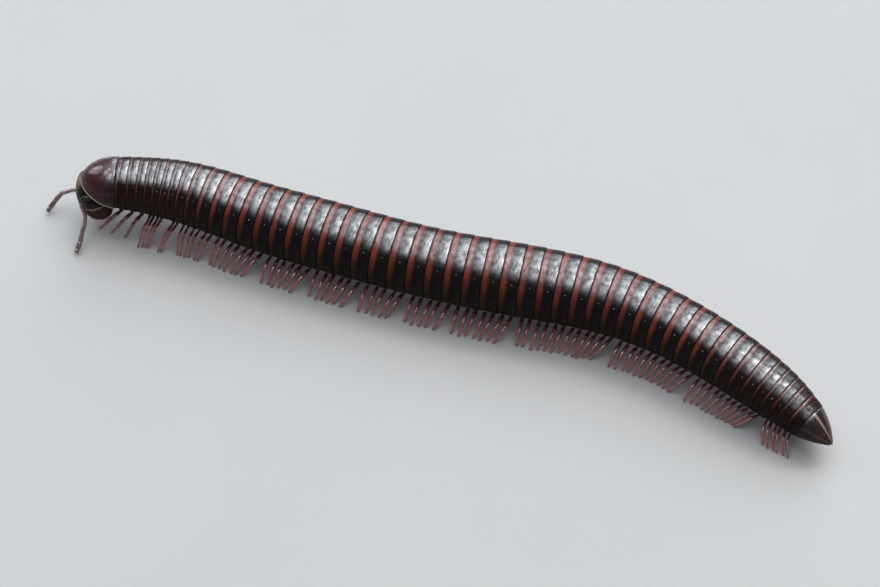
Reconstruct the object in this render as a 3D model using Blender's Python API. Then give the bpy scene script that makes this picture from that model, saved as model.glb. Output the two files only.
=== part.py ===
"""A life-size still model of a large, round-backed millipede, walking on a flat floor.

The head is at -X and the tail at +X. The named sizes are millimetres, and each mesh is
scaled to metres when it is made. A place on the body is given by its distance along
the body's middle line, with offsets to the animal's left and upwards from that line.
"""

import math
import random

import bmesh
import bpy
import numpy as np
from mathutils import Vector

MM = 0.001
GAP = 0.3
FLAT_ANGLE = math.radians(0.2)
SHARP_ANGLE = math.radians(35)

# The middle line of the body, from just before the head to just past the tail.
ROUTE = (
    (-66.0, -7.4, 10.0),
    (-57.7, -4.7, 9.6),
    (-46.0, -1.5, 8.9),
    (-34.8, -0.8, 8.2),
    (-20.0, 0.0, 7.9),
    (-5.3, 1.2, 7.9),
    (8.6, 3.4, 7.9),
    (20.0, 4.7, 7.9),
    (31.0, 3.8, 7.85),
    (42.0, 1.2, 7.3),
    (52.6, -2.3, 5.65),
    (60.6, -6.1, 4.0),
)
ROUTE_LEAD = 8.72
ROUTE_SAMPLES = 1200
ORIGIN = (-4.43, -0.85)
AXIS_REACH = 0.5

# Rings are numbered from the collum, which is ring 1, to the last one before the telson.
COLLUM_END = 2.8
LAST_RING = 50
RING_LENGTHS = (
    (2, 1.7), (4, 1.3), (7, 1.3), (8, 1.4), (9, 1.75), (11, 2.2), (14, 2.48), (19, 2.6),
    (22, 2.78), (30, 2.7), (37, 2.54), (42, 2.27), (46, 1.88), (48, 1.6), (49, 1.7), (50, 2.1),
)
RADII = (
    (0.0, 3.75), (5.0, 4.1), (12.0, 4.65), (22.0, 5.05), (32.0, 5.28), (50.0, 5.3),
    (65.0, 5.45), (78.0, 5.2), (92.0, 4.7), (104.0, 4.25), (110.0, 3.55), (114.1, 2.65),
)
RING_SIDES = 18
RING_PROFILE = ((0.02, -0.24), (0.42, -0.05), (0.96, 0.0))
BELLY_FLATNESS = 0.05

# Legs: one pair on rings 2 to 4, none on ring 7 and the last ring, two pairs elsewhere.
SINGLE_PAIR_RINGS = (2, 3, 4)
LEGLESS_RINGS = (7, 50)
SINGLE_PAIR_PLACE = 0.5
DOUBLE_PAIR_PLACES = (0.27, 0.73)
LEG_REACH = 1.2
LEG_TO_RING_LENGTH = 0.21
THINNEST_LEG = 0.4
THICKEST_LEG = 0.56
FOOT_THICKNESS = 0.32
LEG_ROOT = 0.8
LEG_ROOT_DEPTH = 0.5

# Each bend of a leg: its share of the reach, of the belly's height and of the lean, and its width.
LEG_BENDS = ((0.36, 0.80, 0.08, 1.0), (0.72, 0.86, 0.33, 1.0), (0.93, 0.38, 0.75, 0.85))

# The walking waves: where each starts, and how far its first and last feet lean towards the tail.
WAVES = (
    (-6.0, -0.3, -2.3), (12.4, -0.3, -1.3), (18.0, -0.3, -2.6), (27.0, -0.3, -2.6),
    (35.0, -0.4, -2.4), (42.5, -0.4, -2.3), (50.0, -0.4, -2.0), (56.0, -0.3, -2.4),
    (66.0, -0.2, -2.5), (81.5, -0.4, -2.5), (95.5, -0.5, -2.4), (106.5, 1.6, 2.6),
    (125.0, 0.0, 0.0),
)
LEAN_CHANGE = 0.04
REACH_CHANGE = 0.03

# The first pairs are held forwards beside the head, with their feet off the floor.
HELD_PAIRS = {2: (-3.0, 1.3), 3: (-2.9, 0.9), 4: (-2.4, 0.4)}
TRUNK_SPANS = (
    (2, 6), (7, 11), (12, 16), (17, 21), (22, 26),
    (27, 31), (32, 36), (37, 41), (42, 46), (47, 50),
)

# The collum is a domed shield whose lower edge falls from its front to its rear.
DOME_LENGTH = 5.6
DOME_FRONT = -2.75
MARGIN_AT_FRONT = 0.45
MARGIN_FALL = 2.75
COLLUM_SIDES = 16
COLLUM_ROWS = 9

# Each section of the head: its height, half width, front and back in the head's axes.
HEAD_SECTIONS = (
    (1.9, 1.4, -1.8, 0.8),
    (0.8, 2.8, -2.9, 1.9),
    (-0.8, 3.35, -3.6, 2.2),
    (-2.6, 3.5, -3.75, 2.2),
    (-4.2, 3.3, -3.4, 2.0),
    (-5.6, 2.6, -2.7, 1.5),
    (-6.5, 1.5, -1.9, 0.6),
)
HEAD_SIDES = 18
HEAD_ROWS = 11
CHEEK_CENTRE = (-0.3, 2.1, -4.5)
CHEEK_SIZE = (2.0, 1.5, 1.9)
NECK_RADIUS = 3.3
EGG_SIDES = 12
EGG_ROWS = 8

EYE_CENTRE = (-1.7, 3.0, -1.2)
EYE_SIZE = (0.95, 0.45, 0.6)
ANTENNA_SOCKET = (-2.6, 2.75, -3.1)
ANTENNA_ROOT_RADIUS = 0.45
ANTENNA_ARTICLES = 7
ANTENNA_SIDES = 8
ANTENNA_THICKNESS = 0.62
ANTENNA_ROOT = ((-0.30, 0.30), (-0.12, 0.43), (0.15, 0.42))
ANTENNA_ROOT_LENGTH = 0.4
ARTICLE_SHAPE = ((0.08, 0.7), (0.85, 1.0))
LAST_ARTICLE_WIDTH = 0.8
ANTENNA_TIP_LENGTH = 0.05
ANTENNA_TIP_RADIUS = 0.12
LEFT_ANTENNA = ((-58.7, -8.9, 4.6), (-58.9, -10.2, 2.7), (-58.85, -11.4, 1.5), (-59.0, -12.6, 0.6))
RIGHT_ANTENNA = ((-62.4, -4.4, 4.4), (-64.3, -4.7, 3.6), (-65.5, -5.9, 2.3), (-66.4, -7.4, 0.7))

TELSON_PROFILE = ((0.0, 1.0), (0.3, 0.84), (0.6, 0.57), (0.82, 0.33), (1.0, 0.09))
TELSON_LENGTH = 3.95
TELSON_STEP_IN = 0.2
VALVE_CENTRE = (1.75, 0.0, -1.15)
VALVE_SIZE = (1.55, 1.5, 1.25)
VALVE_SLIT = 0.3
VALVE_SIDES = 16
VALVE_ROWS = 9

# Each surface: its colour and its roughness.
BLACK_CUTICLE = ((0.012, 0.010, 0.011), 0.25)
BROWN_CUTICLE = ((0.085, 0.022, 0.014), 0.22)
LEG_PINK = ((0.36, 0.115, 0.115), 0.3)
EYE_BLACK = ((0.008, 0.009, 0.012), 0.15)


def smooth_through(knots, values):
    """A function that runs smoothly through these values at these knots: a natural cubic spline."""
    knots = np.array(knots, float)
    values = np.array(values, float)
    steps = np.diff(knots)
    count = len(knots)
    slopes = (np.diff(values, axis=0).T / steps).T
    system = np.eye(count)
    target = np.zeros_like(values)
    for k in range(1, count - 1):
        system[k, k - 1:k + 2] = steps[k - 1], 2 * (steps[k - 1] + steps[k]), steps[k]
        target[k] = 6 * (slopes[k] - slopes[k - 1])
    bends = np.linalg.solve(system, target)

    def value_at(place):
        k = int(np.clip(np.searchsorted(knots, place) - 1, 0, count - 2))
        step = steps[k]
        after = (place - knots[k]) / step
        before = 1 - after
        curve = (before**3 - before) * bends[k] + (after**3 - after) * bends[k + 1]
        return before * values[k] + after * values[k + 1] + curve * step**2 / 6

    return value_at


def distances_along(points):
    points = np.array(points, float)
    steps = np.linalg.norm(np.diff(points, axis=0), axis=1)
    return np.concatenate([[0.0], np.cumsum(steps)])


def middle_line():
    """A function from the distance along the body to a point on its middle line."""
    chords = distances_along(ROUTE)
    raw = smooth_through(chords, ROUTE)
    fine = np.linspace(0, chords[-1], ROUTE_SAMPLES)
    points = np.array([raw(place) for place in fine])
    points[:, :2] -= ORIGIN
    along = distances_along(points) - ROUTE_LEAD
    return lambda place: np.array([np.interp(place, along, points[:, axis]) for axis in range(3)])


line_at = middle_line()
radius_at = smooth_through(*zip(*RADII))


def axes_at(along):
    """The directions towards the tail, to the animal's left and up, square to each other."""
    tailward = line_at(along + AXIS_REACH) - line_at(along - AXIS_REACH)
    tailward /= np.linalg.norm(tailward)
    left = np.cross(tailward, (0.0, 0.0, 1.0))
    left /= np.linalg.norm(left)
    return tailward, left, np.cross(left, tailward)


def body_point(along, left, up):
    _, left_axis, up_axis = axes_at(along)
    return line_at(along) + left * left_axis + up * up_axis


def head_point(tailward, left, up):
    """A point given in the head's own axes, whose origin is where the middle line starts."""
    tailward_axis, left_axis, up_axis = axes_at(0.0)
    return line_at(0.0) + tailward * tailward_axis + left * left_axis + up * up_axis


def ring_ends():
    """Where each ring starts and ends along the body."""
    numbers, lengths = zip(*RING_LENGTHS)
    ends = {}
    start = COLLUM_END
    for ring in range(2, LAST_RING + 1):
        end = start + float(np.interp(ring, numbers, lengths))
        ends[ring] = (start, end)
        start = end
    return ends


RING_ENDS = ring_ends()
TRUNK_END = RING_ENDS[LAST_RING][1]


def make_object(name, mesh_points, faces):
    """A mesh object from points in millimetres, in triangles with its faces pointing out."""
    mesh = bpy.data.meshes.new(name)
    mesh.from_pydata([Vector(point) * MM for point in mesh_points], [], faces)
    shape = bmesh.new()
    shape.from_mesh(mesh)
    bmesh.ops.triangulate(shape, faces=shape.faces)
    bmesh.ops.recalc_face_normals(shape, faces=shape.faces)
    if shape.calc_volume(signed=True) < 0:
        bmesh.ops.reverse_faces(shape, faces=shape.faces)
    shape.to_mesh(mesh)
    shape.free()
    made = bpy.data.objects.new(name, mesh)
    bpy.context.scene.collection.objects.link(made)
    return made


def loft(name, loops):
    """A closed solid through loops that all have the same number of points."""
    sides = len(loops[0])
    points = [point for loop in loops for point in loop]
    faces = [tuple(range(sides)), tuple(range(len(points) - sides, len(points)))]
    for row in range(len(loops) - 1):
        for side in range(sides):
            after = (side + 1) % sides
            start = row * sides
            faces.append((start + side, start + after, start + sides + after, start + sides + side))
    return make_object(name, points, faces)


def egg(name, centre, size, side=1, extra=0.0):
    """An ellipsoid in the head's axes, with these half-sizes, on side 1 for left or -1 for right."""
    tailward, left, up = centre
    centre = np.array([tailward, side * left, up])
    size = np.array(size) + extra
    loops = []
    for row in range(1, EGG_ROWS):
        polar = math.pi * row / EGG_ROWS
        loop = []
        for column in range(EGG_SIDES):
            turn = 2 * math.pi * column / EGG_SIDES
            across = math.sin(polar) * np.array([math.cos(turn), math.sin(turn), 0.0])
            offset = across + np.array([0.0, 0.0, math.cos(polar)])
            loop.append(head_point(*(centre + offset * size)))
        loops.append(loop)
    return loft(name, loops)


def replace_mesh(body, group, operation):
    """Applies one Boolean of the whole group to the body and removes the group's objects."""
    collection = bpy.data.collections.new(body.name + "_pieces")
    bpy.context.scene.collection.children.link(collection)
    for piece in group:
        bpy.context.scene.collection.objects.unlink(piece)
        collection.objects.link(piece)
    change = body.modifiers.new("change", "BOOLEAN")
    change.operation = operation
    change.operand_type = "COLLECTION"
    change.collection = collection
    change.solver = "EXACT"
    bpy.context.view_layer.update()
    graph = bpy.context.evaluated_depsgraph_get()
    changed = bpy.data.meshes.new_from_object(body.evaluated_get(graph))
    body.modifiers.clear()
    old = body.data
    body.data = changed
    bpy.data.meshes.remove(old)
    for piece in group:
        bpy.data.objects.remove(piece)
    bpy.data.collections.remove(collection)


def keep_largest_surface(body):
    """Leaves only the closed surface with the largest volume."""
    shape = bmesh.new()
    shape.from_mesh(body.data)
    bmesh.ops.dissolve_limit(shape, angle_limit=FLAT_ANGLE, verts=shape.verts, edges=shape.edges)
    bmesh.ops.triangulate(shape, faces=shape.faces)
    waiting = set(shape.faces)
    surfaces = []
    while waiting:
        found = [waiting.pop()]
        for face in found:
            for edge in face.edges:
                for neighbour in edge.link_faces:
                    if neighbour in waiting:
                        waiting.remove(neighbour)
                        found.append(neighbour)
        volume = 0.0
        for face in found:
            first, second, third = (corner.co for corner in face.verts)
            volume += first.dot(second.cross(third)) / 6
        surfaces.append((volume, found))
    surfaces.sort(key=lambda surface: surface[0])
    scraps = [face for _, found in surfaces[:-1] for face in found]
    if scraps:
        bmesh.ops.delete(shape, geom=scraps, context="FACES")
    shape.to_mesh(body.data)
    shape.free()


def finish(body, look):
    """Smooth shading with crisp edges, and the sub-part's own material."""
    colour, roughness = look
    body.data.shade_smooth()
    body.data.set_sharp_from_angle(angle=SHARP_ANGLE)
    material = bpy.data.materials.new(body.name)
    material.use_nodes = True
    surface = material.node_tree.nodes["Principled BSDF"]
    surface.inputs["Base Color"].default_value = (*colour, 1.0)
    surface.inputs["Roughness"].default_value = roughness
    surface.inputs["Metallic"].default_value = 0.0
    body.data.materials.clear()
    body.data.materials.append(material)


def ring_loop(along, radius):
    """One loop round the body, a circle with a slightly flattened belly."""
    loop = []
    for side in range(RING_SIDES):
        turn = 2 * math.pi * side / RING_SIDES
        up = math.cos(turn)
        flat = 1 - BELLY_FLATNESS * max(0.0, -up) ** 3
        loop.append(body_point(along, radius * math.sin(turn), radius * up * flat))
    return loop


def ring_tube(name, first_ring, last_ring):
    """The rings of one length of the trunk, each wider at its rear edge than at its front."""
    loops = []
    for ring in range(first_ring, last_ring + 1):
        start, end = RING_ENDS[ring]
        for share, change in RING_PROFILE:
            along = start + share * (end - start)
            loops.append(ring_loop(along, radius_at(along) + change))
    front = RING_ENDS[first_ring][0] + GAP / 2
    back = RING_ENDS[last_ring][1] - GAP / 2
    loops[0] = ring_loop(front, radius_at(front) + RING_PROFILE[0][1])
    loops[-1] = ring_loop(back, radius_at(back) + RING_PROFILE[-1][1])
    return loft(name, loops)


def leg_places(ring):
    """Where the ring's leg pairs grow, as distances along the body."""
    start, end = RING_ENDS[ring]
    if ring in LEGLESS_RINGS:
        return ()
    if ring in SINGLE_PAIR_RINGS:
        return (start + SINGLE_PAIR_PLACE * (end - start),)
    return tuple(start + share * (end - start) for share in DOUBLE_PAIR_PLACES)


def foot_place(ring, along):
    """How far the foot leans towards the tail, and how high over the floor it is held."""
    if ring in HELD_PAIRS:
        return HELD_PAIRS[ring]
    for (start, first_lean, last_lean), (end, _, _) in zip(WAVES, WAVES[1:]):
        if start <= along < end:
            share = (along - start) / (end - start)
            return first_lean + share * (last_lean - first_lean), 0.0


def leg(ring, along, side, chance):
    """A bent leg from the belly to its small flat foot, on side +1 for left or -1 for right."""
    tailward, left_axis, _ = axes_at(along)
    radius = radius_at(along)
    centre = line_at(along)
    belly = centre[2] - radius * (1 - BELLY_FLATNESS)
    reach = LEG_REACH * radius * (1 + chance.uniform(-REACH_CHANGE, REACH_CHANGE))
    ring_length = RING_ENDS[ring][1] - RING_ENDS[ring][0]
    thickness = min(max(LEG_TO_RING_LENGTH * ring_length, THINNEST_LEG), THICKEST_LEG)
    lean, lift = foot_place(ring, along)
    lean += chance.uniform(-LEAN_CHANGE, LEAN_CHANGE) * ring_length
    stations = (
        (LEG_ROOT, belly + LEG_ROOT_DEPTH, 0.0, thickness),
        *((out * reach, up * belly, share, thickness * width) for out, up, share, width in LEG_BENDS),
        (reach, lift, 1.0, FOOT_THICKNESS),
    )
    flat_tailward = np.array([tailward[0], tailward[1], 0.0])
    flat_tailward /= np.linalg.norm(flat_tailward)
    outward = side * left_axis
    upward = np.array([0.0, 0.0, 1.0])
    loops = []
    for lateral, height, lean_share, width in stations:
        ground_point = np.array([centre[0], centre[1], height])
        point = ground_point + lateral * outward + lean * lean_share * flat_tailward
        across = outward if height == lift else upward
        loops.append([
            point + 0.5 * width * flat_tailward,
            point + 0.5 * width * across,
            point - 0.5 * width * flat_tailward,
            point - 0.5 * width * across,
        ])
    return loft("leg", loops)


def trunk_length(number, first_ring, last_ring):
    """One length of the trunk with the legs of its rings fused to its belly."""
    name = f"trunk_{number:02d}"
    chance = random.Random(number)
    body = ring_tube(name, first_ring, last_ring)
    legs = []
    for ring in range(first_ring, last_ring + 1):
        for along in leg_places(ring):
            for side in (1, -1):
                legs.append(leg(ring, along, side, chance))
    replace_mesh(body, legs, "UNION")
    keep_largest_surface(body)
    finish(body, BLACK_CUTICLE)


def collum_margin(along):
    """The height of the collum's lower edge over the middle line."""
    share = (along - DOME_FRONT) / DOME_LENGTH
    return MARGIN_AT_FRONT - MARGIN_FALL * share


def collum_block(name, extra):
    """The collum, a domed shield on top of the head, grown by extra on every side."""
    rear = COLLUM_END - GAP / 2
    widest = radius_at(COLLUM_END)
    loops = []
    for row in range(COLLUM_ROWS):
        share = 1 - math.cos(0.5 * math.pi * (row + 0.5) / (COLLUM_ROWS - 0.5))
        along = DOME_FRONT + share * (rear - DOME_FRONT)
        reach = (COLLUM_END - along) / DOME_LENGTH
        radius = widest * math.sqrt(max(0.0, 1 - reach**2)) + extra
        low = collum_margin(along) - extra
        widest_turn = math.acos(max(-1.0, min(1.0, low / radius)))
        loop = []
        for side in range(COLLUM_SIDES + 1):
            turn = widest_turn * (2 * side / COLLUM_SIDES - 1)
            place = along + extra * (2 * share - 1)
            loop.append(head_point(place, radius * math.sin(turn), radius * math.cos(turn)))
        loops.append(loop)
    return loft(name, loops)


def collum():
    shield = collum_block("collum", 0.0)
    finish(shield, BROWN_CUTICLE)


def head_section(height, half_width, front, back):
    loop = []
    for side in range(HEAD_SIDES):
        turn = 2 * math.pi * side / HEAD_SIDES
        tailward = 0.5 * (front + back) - 0.5 * (back - front) * math.cos(turn)
        loop.append(head_point(tailward, half_width * math.sin(turn), height))
    return loop


def head_capsule():
    """The head: a tall capsule with bulging cheeks and a neck that meets the first leg ring."""
    heights, widths, fronts, backs = zip(*reversed(HEAD_SECTIONS))
    width_at = smooth_through(heights, widths)
    front_at = smooth_through(heights, fronts)
    back_at = smooth_through(heights, backs)
    loops = []
    for height in np.linspace(heights[0], heights[-1], HEAD_ROWS):
        loops.append(head_section(height, width_at(height), front_at(height), back_at(height)))
    capsule = loft("head", loops)
    added = [egg("cheek", CHEEK_CENTRE, CHEEK_SIZE, side) for side in (1, -1)]
    neck = []
    for along in (0.0, COLLUM_END - GAP / 2):
        neck.append([
            body_point(along, NECK_RADIUS * math.sin(turn), NECK_RADIUS * math.cos(turn))
            for turn in np.linspace(0, 2 * math.pi, HEAD_SIDES, endpoint=False)
        ])
    added.append(loft("neck", neck))
    replace_mesh(capsule, added, "UNION")
    cutters = [collum_block("collum_cut", GAP)]
    for side in (1, -1):
        cutters.append(egg("eye_cut", EYE_CENTRE, EYE_SIZE, side, GAP))
        cutters.append(egg("socket_cut", ANTENNA_SOCKET, [ANTENNA_ROOT_RADIUS] * 3, side, GAP))
    replace_mesh(capsule, cutters, "DIFFERENCE")
    keep_largest_surface(capsule)
    finish(capsule, BROWN_CUTICLE)


def eyes():
    for name, side in (("eye_left", 1), ("eye_right", -1)):
        finish(egg(name, EYE_CENTRE, EYE_SIZE, side), EYE_BLACK)


def antennae():
    """Each feeler is a row of short articles that widen towards their outer ends."""
    for name, side, way in (("antenna_left", 1, LEFT_ANTENNA), ("antenna_right", -1, RIGHT_ANTENNA)):
        tailward, left, up = ANTENNA_SOCKET
        points = [head_point(tailward, side * left, up)]
        points += [np.array(point) - (*ORIGIN, 0.0) for point in way]
        chords = distances_along(points)
        path_at = smooth_through(chords, points)
        length = chords[-1]
        stations = list(ANTENNA_ROOT)
        article = (length - ANTENNA_ROOT_LENGTH) / ANTENNA_ARTICLES
        for number in range(ANTENNA_ARTICLES):
            start = ANTENNA_ROOT_LENGTH + number * article
            widest = 0.5 * ANTENNA_THICKNESS
            if number == ANTENNA_ARTICLES - 1:
                widest *= LAST_ARTICLE_WIDTH
            stations += [(start + share * article, widest * width) for share, width in ARTICLE_SHAPE]
        stations.append((length + ANTENNA_TIP_LENGTH, ANTENNA_TIP_RADIUS))
        loops = []
        for along, radius in stations:
            place = max(0.0, along)
            direction = path_at(place + ANTENNA_TIP_LENGTH) - path_at(place)
            direction /= np.linalg.norm(direction)
            centre = path_at(place) + (along - place) * direction
            across = np.cross(direction, (0.3, 0.2, 1.0))
            across /= np.linalg.norm(across)
            over = np.cross(direction, across)
            loops.append([
                centre + radius * (math.cos(turn) * across + math.sin(turn) * over)
                for turn in np.linspace(0, 2 * math.pi, ANTENNA_SIDES, endpoint=False)
            ])
        feeler = loft(name, loops)
        finish(feeler, LEG_PINK)


def telson_point(tailward, left, up):
    return body_point(TRUNK_END + tailward, left, up)


def valve_egg(name, extra):
    """The closed shape of both anal valves, low on the rear of the telson."""
    size = np.array(VALVE_SIZE) + extra
    loops = []
    for row in range(1, VALVE_ROWS):
        polar = math.pi * row / VALVE_ROWS
        loop = []
        for side in range(VALVE_SIDES):
            turn = 2 * math.pi * side / VALVE_SIDES
            across = math.sin(polar) * np.array([0.0, math.cos(turn), math.sin(turn)])
            offset = across + np.array([math.cos(polar), 0.0, 0.0])
            loop.append(telson_point(*(VALVE_CENTRE + offset * size)))
        loops.append(loop)
    return loft(name, loops)


def telson():
    """The tail piece, a cone that ends in a short point over the two anal valves."""
    start = GAP / 2
    widest = radius_at(TRUNK_END) - TELSON_STEP_IN
    loops = []
    for share, width in TELSON_PROFILE:
        along = TRUNK_END + start + share * (TELSON_LENGTH - start)
        loops.append(ring_loop(along, widest * width))
    cone = loft("telson", loops)
    replace_mesh(cone, [valve_egg("valve_cut", GAP)], "DIFFERENCE")
    keep_largest_surface(cone)
    finish(cone, BLACK_CUTICLE)


def anal_valves():
    """Two convex plates that meet at a narrow upright slit."""
    _, left_axis, _ = axes_at(TRUNK_END + VALVE_CENTRE[0])
    middle = telson_point(*VALVE_CENTRE)
    for name, side in (("anal_valve_left", 1), ("anal_valve_right", -1)):
        valve = valve_egg(name, 0.0)
        shape = bmesh.new()
        shape.from_mesh(valve.data)
        cut = bmesh.ops.bisect_plane(
            shape,
            geom=shape.verts[:] + shape.edges[:] + shape.faces[:],
            plane_co=Vector(middle + 0.5 * side * VALVE_SLIT * left_axis) * MM,
            plane_no=Vector(-side * left_axis),
            clear_outer=True,
        )
        rim = [item for item in cut["geom_cut"] if isinstance(item, bmesh.types.BMEdge)]
        bmesh.ops.holes_fill(shape, edges=rim)
        bmesh.ops.triangulate(shape, faces=shape.faces)
        bmesh.ops.recalc_face_normals(shape, faces=shape.faces)
        shape.to_mesh(valve.data)
        shape.free()
        finish(valve, BROWN_CUTICLE)


for startup_object in list(bpy.data.objects):
    bpy.data.objects.remove(startup_object)

head_capsule()
eyes()
antennae()
collum()
for trunk_number, (from_ring, to_ring) in enumerate(TRUNK_SPANS, 1):
    trunk_length(trunk_number, from_ring, to_ring)
telson()
anal_valves()
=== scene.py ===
# %% [markdown]
# # A pink-legged millipede in cells
#
# A large millipede is a row of hard rings on a long, bent line, with a domed shield and a head in
# front, a pointed tail piece behind, and a great many small legs below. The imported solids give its
# place and its true outline. The cells below dress them: every visible piece is made anew with the
# fine form and the finish of the real animal, in the same place and at the same size.

import math
import random

import bmesh
import bpy
import numpy as np
from mathutils import Matrix, Vector


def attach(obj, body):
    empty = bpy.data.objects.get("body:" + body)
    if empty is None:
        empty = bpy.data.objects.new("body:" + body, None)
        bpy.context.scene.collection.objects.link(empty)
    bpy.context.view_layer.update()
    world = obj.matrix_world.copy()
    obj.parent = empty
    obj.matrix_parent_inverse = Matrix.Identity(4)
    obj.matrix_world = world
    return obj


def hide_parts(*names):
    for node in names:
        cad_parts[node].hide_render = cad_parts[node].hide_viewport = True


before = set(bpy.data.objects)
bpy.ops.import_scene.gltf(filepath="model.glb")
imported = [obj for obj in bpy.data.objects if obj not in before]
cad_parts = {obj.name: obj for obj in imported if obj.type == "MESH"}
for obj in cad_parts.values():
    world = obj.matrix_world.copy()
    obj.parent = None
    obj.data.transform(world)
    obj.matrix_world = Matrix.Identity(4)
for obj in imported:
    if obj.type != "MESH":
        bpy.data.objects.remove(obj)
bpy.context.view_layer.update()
for startup_name in ("Cube", "Camera", "Light"):
    if startup_name in bpy.data.objects and startup_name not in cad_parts:
        bpy.data.objects.remove(bpy.data.objects[startup_name])
print("solids loaded:", len(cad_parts))

# %% [markdown]
# ## The body's plan
#
# The solids follow one middle line, and so does everything here. A line could be drawn by hand for
# each piece, but then rings, legs and pores would drift apart. Instead the line, the radius along it
# and the ends of the rings are written once, in millimetres, and each piece asks them for its place.

# %% The middle line and the girth
MM = 0.001
UP = np.array([0.0, 0.0, 1.0])
ROUTE = (
    # Points of the middle line, from the head to the tail.
    (-66.0, -7.4, 10.0), (-57.7, -4.7, 9.6), (-46.0, -1.5, 8.9), (-34.8, -0.8, 8.2),
    (-20.0, 0.0, 7.9), (-5.3, 1.2, 7.9), (8.6, 3.4, 7.9), (20.0, 4.7, 7.9),
    (31.0, 3.8, 7.85), (42.0, 1.2, 7.3), (52.6, -2.3, 5.65), (60.6, -6.1, 4.0),
)
ROUTE_LEAD = 8.72
ROUTE_SAMPLES = 1200
ORIGIN = (-4.43, -0.85)
AXIS_REACH = 0.5
RADII = (
    # The distance from the head and the body's radius there.
    (0.0, 3.75), (5.0, 4.1), (12.0, 4.65), (22.0, 5.05), (32.0, 5.28), (50.0, 5.3),
    (65.0, 5.45), (78.0, 5.2), (92.0, 4.7), (104.0, 4.25), (110.0, 3.55), (114.1, 2.65),
)


def smooth_through(knots, values):
    """A function that runs smoothly through these values at these knots: a natural cubic spline."""
    knots = np.array(knots, float)
    values = np.array(values, float)
    steps = np.diff(knots)
    count = len(knots)
    slopes = (np.diff(values, axis=0).T / steps).T
    system = np.eye(count)
    target = np.zeros_like(values)
    for k in range(1, count - 1):
        system[k, k - 1:k + 2] = steps[k - 1], 2 * (steps[k - 1] + steps[k]), steps[k]
        target[k] = 6 * (slopes[k] - slopes[k - 1])
    bends = np.linalg.solve(system, target)

    def value_at(place):
        k = np.clip(np.searchsorted(knots, place) - 1, 0, count - 2)
        step = steps[k]
        after = (place - knots[k]) / step
        if values.ndim > 1:
            step, after = step[..., None], after[..., None]
        before = 1 - after
        curve = (before**3 - before) * bends[k] + (after**3 - after) * bends[k + 1]
        return before * values[k] + after * values[k + 1] + curve * step**2 / 6

    return value_at


def distances_along(points):
    steps = np.linalg.norm(np.diff(np.array(points, float), axis=0), axis=1)
    return np.concatenate([[0.0], np.cumsum(steps)])


route_chords = distances_along(ROUTE)
LINE = smooth_through(route_chords, ROUTE)(np.linspace(0, route_chords[-1], ROUTE_SAMPLES))
LINE[:, :2] -= ORIGIN
LINE_PLACES = distances_along(LINE) - ROUTE_LEAD
radius_at = smooth_through(*zip(*RADII))
print(f"middle line: {LINE_PLACES[-1] - LINE_PLACES[0]:.1f} mm")

# %% Places on the body


def unit(vectors):
    return vectors / np.linalg.norm(vectors, axis=-1, keepdims=True)


def line_at(along):
    """Points of the middle line at these distances from the head."""
    return np.stack([np.interp(along, LINE_PLACES, LINE[:, axis]) for axis in range(3)], axis=-1)


def axes_at(along):
    """The directions towards the tail, to the animal's left and up, square to each other."""
    along = np.asarray(along, float)
    tailward = unit(line_at(along + AXIS_REACH) - line_at(along - AXIS_REACH))
    left = unit(np.cross(tailward, UP))
    return tailward, left, np.cross(left, tailward)


def body_points(along, left, up):
    """Points at these distances along the body, offset to its left and up."""
    along, left, up = np.broadcast_arrays(*(np.asarray(v, float) for v in (along, left, up)))
    _, left_axis, up_axis = axes_at(along)
    return line_at(along) + left[..., None] * left_axis + up[..., None] * up_axis


HEAD_ORIGIN = line_at(0.0)
HEAD_AXES = np.array(axes_at(0.0))


def head_points(points):
    """Points given as tailward, left and up in the head's own axes."""
    return HEAD_ORIGIN + np.asarray(points, float) @ HEAD_AXES


print("the head's origin:", np.round(HEAD_ORIGIN, 2), "mm")

# %% The ends of the rings
COLLUM_END = 2.8
LAST_RING = 50
RING_LENGTHS = (
    # A ring's number and its length. The rings between two of them change evenly.
    (2, 1.7), (4, 1.3), (7, 1.3), (8, 1.4), (9, 1.75), (11, 2.2), (14, 2.48), (19, 2.6),
    (22, 2.78), (30, 2.7), (37, 2.54), (42, 2.27), (46, 1.88), (48, 1.6), (49, 1.7), (50, 2.1),
)
RING_ENDS = {}
ring_start = COLLUM_END
for ring_number in range(2, LAST_RING + 1):
    ring_end = ring_start + float(np.interp(ring_number, *zip(*RING_LENGTHS)))
    RING_ENDS[ring_number] = (ring_start, ring_end)
    ring_start = ring_end
TRUNK_END = ring_start
print(f"rings 2 to {LAST_RING} end at {TRUNK_END:.2f} mm")

# %% [markdown]
# ## The view
#
# The photo looks down at the animal from its left and a little from behind. A long lens keeps the
# two ends of the body at nearly one scale. The camera is set by the direction that it looks back
# along, so that its height over the floor and its turn round the animal are plain numbers.

# %% Camera
VIEW_AZIMUTH = math.radians(21.8)
VIEW_ELEVATION = math.radians(57.0)
VIEW_TARGET = (-0.62, 2.21, 0.0)
VIEW_DISTANCE = 368.0
VIEW_LENS = 100.0
VIEW_CLIP = 0.01


def look_from(azimuth, elevation):
    """The direction from the animal to an onlooker: azimuth 0 stands on the -Y side."""
    flat = math.cos(elevation)
    return Vector((math.sin(azimuth) * flat, -math.cos(azimuth) * flat, math.sin(elevation)))


def aim(thing, target, azimuth, elevation, distance):
    """Places a camera or a lamp at this distance from the target and points it there."""
    back = look_from(azimuth, elevation)
    right = Vector((math.cos(azimuth), math.sin(azimuth), 0.0))
    turn = Matrix((right, back.cross(right), back)).transposed()
    thing.matrix_world = Matrix.Translation((Vector(target) + back * distance) * MM) @ turn.to_4x4()


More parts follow.
